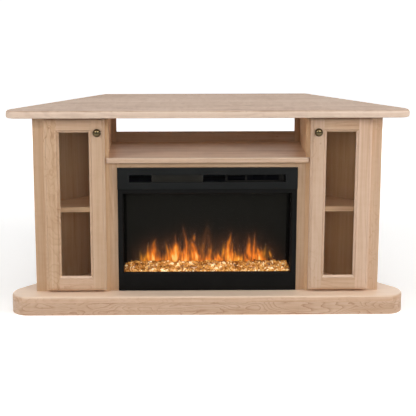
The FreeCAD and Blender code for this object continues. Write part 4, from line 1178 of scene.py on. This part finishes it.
def make_floor():
    """A wide floor under the piece."""
    size = 30
    corners = [(-size, -size, 0), (size, -size, 0), (size, size, 0), (-size, size, 0)]
    mesh = mesh_of("floor", corners, [(0, 1, 2, 3)])
    mesh.materials.append(floor_paint())
    floor = bpy.data.objects.new("floor", mesh)
    bpy.context.scene.collection.objects.link(floor)


def make_world():
    """White for the camera, dim in gloss from the front, and a little light all round."""
    g = Graph("room", world=True)
    path = g.put("LightPath").outputs
    back = g.parts(g.put("TexCoord").outputs["Generated"])[1]
    passed = g.math("MAXIMUM", path["Is Glossy Ray"], path["Is Transmission Ray"])
    shown = g.product(passed, g.span(back, -0.5, 0.1, FRONT_GLOSS, 1.0))
    spread = g.product(g.math("SUBTRACT", 1.0, passed), AMBIENT)
    level = g.math("MAXIMUM", g.math("MAXIMUM", path["Is Camera Ray"], shown), spread)
    shine = g.put("Background", {"Color": (1, 1, 1, 1), "Strength": level})
    bpy.context.scene.world = g.finish(shine.outputs[0])


def make_lamps():
    """Square area lamps, each turned towards what it lights."""
    for name, spot, aim, wide, watts, matt, shiny in LAMPS:
        data = bpy.data.lights.new(name, "AREA")
        data.shape = "SQUARE"
        data.size = wide
        data.energy = watts
        data.color = LAMP_COLOR
        lamp = bpy.data.objects.new(name, data)
        bpy.context.scene.collection.objects.link(lamp)
        lamp.visible_diffuse, lamp.visible_glossy = matt, shiny
        way = (Vector(aim) - Vector(spot)).to_track_quat("-Z", "Y").to_matrix().to_4x4()
        lamp.matrix_world = Matrix.Translation(Vector(spot)) @ way


def dress_cabinet():
    """The wood and the doors' glass and hardware."""
    dress_wood()
    make_surround()
    make_beaded_doors()
    for name in sided("door_glass_"):
        dress(name, clear_glass(name, (0.928, 0.906, 0.843), smear=0.03, ior=1.12))
    nickel = metal("plated_steel", (0.66, 0.65, 0.62), 0.30)
    for name in sided("hinge_cups_ hinge_plates carcass_screws shelf_pins"):
        dress(name, nickel)
    make_knobs(brass_material())


def dress_insert():
    """The electric firebox: its black front, its glass, its works and its fire."""
    dress("front_glass", clear_glass("front_glass", (0.95, 0.955, 0.955), smear=0.02, ior=1.05))
    dress("firebox_frame", powder("black_frame", (0.0027, 0.0026, 0.0024), 0.48, 0.10))
    dress("firebox_band", powder("black_band", (0.0060, 0.0067, 0.0068), 0.44, 0.12))
    dress("firebox_shell", shell_paint())
    dress("ember_tray", powder("black_tray", (0.012, 0.010, 0.009), 0.6, 0.2))
    dress("control_panel", panel_material())
    near_black = (0.0005, 0.0007, 0.0018)
    button = plastic("button_plastic", near_black, 0.30, 0.02)
    dress("power_button", button)
    dress("heat_button", button)
    make_display(plastic("display_plastic", near_black, 0.25, 0.02, grain=300, depth=0.00001))
    make_grille(powder("grille_paint", (0.026, 0.024, 0.019), 0.5, 0.25))
    dress("flicker_rod", metal("bright_aluminium", (0.78, 0.78, 0.77), 0.28))
    dress("blower_wheel", metal("fan_aluminium", (0.10, 0.10, 0.105), 0.5))
    grey, tarnish = (0.20, 0.20, 0.20), (0.12, 0.12, 0.12)
    galvanised = metal("galvanised", grey, 0.5, grain=(90, 90, 90), worn=tarnish)
    for name in ("rod_motor", "blower_housing", "heater_element"):
        dress(name, galvanised)
    dress("cord_gland", plastic("gland_rubber", (0.03, 0.03, 0.03), 0.6, 0.3))
    make_crystals()
    make_flames()


def main():
    bpy.context.scene.view_settings.view_transform = "Standard"
    make_camera()
    make_floor()
    make_world()
    make_lamps()
    dress_cabinet()
    dress_insert()


main()
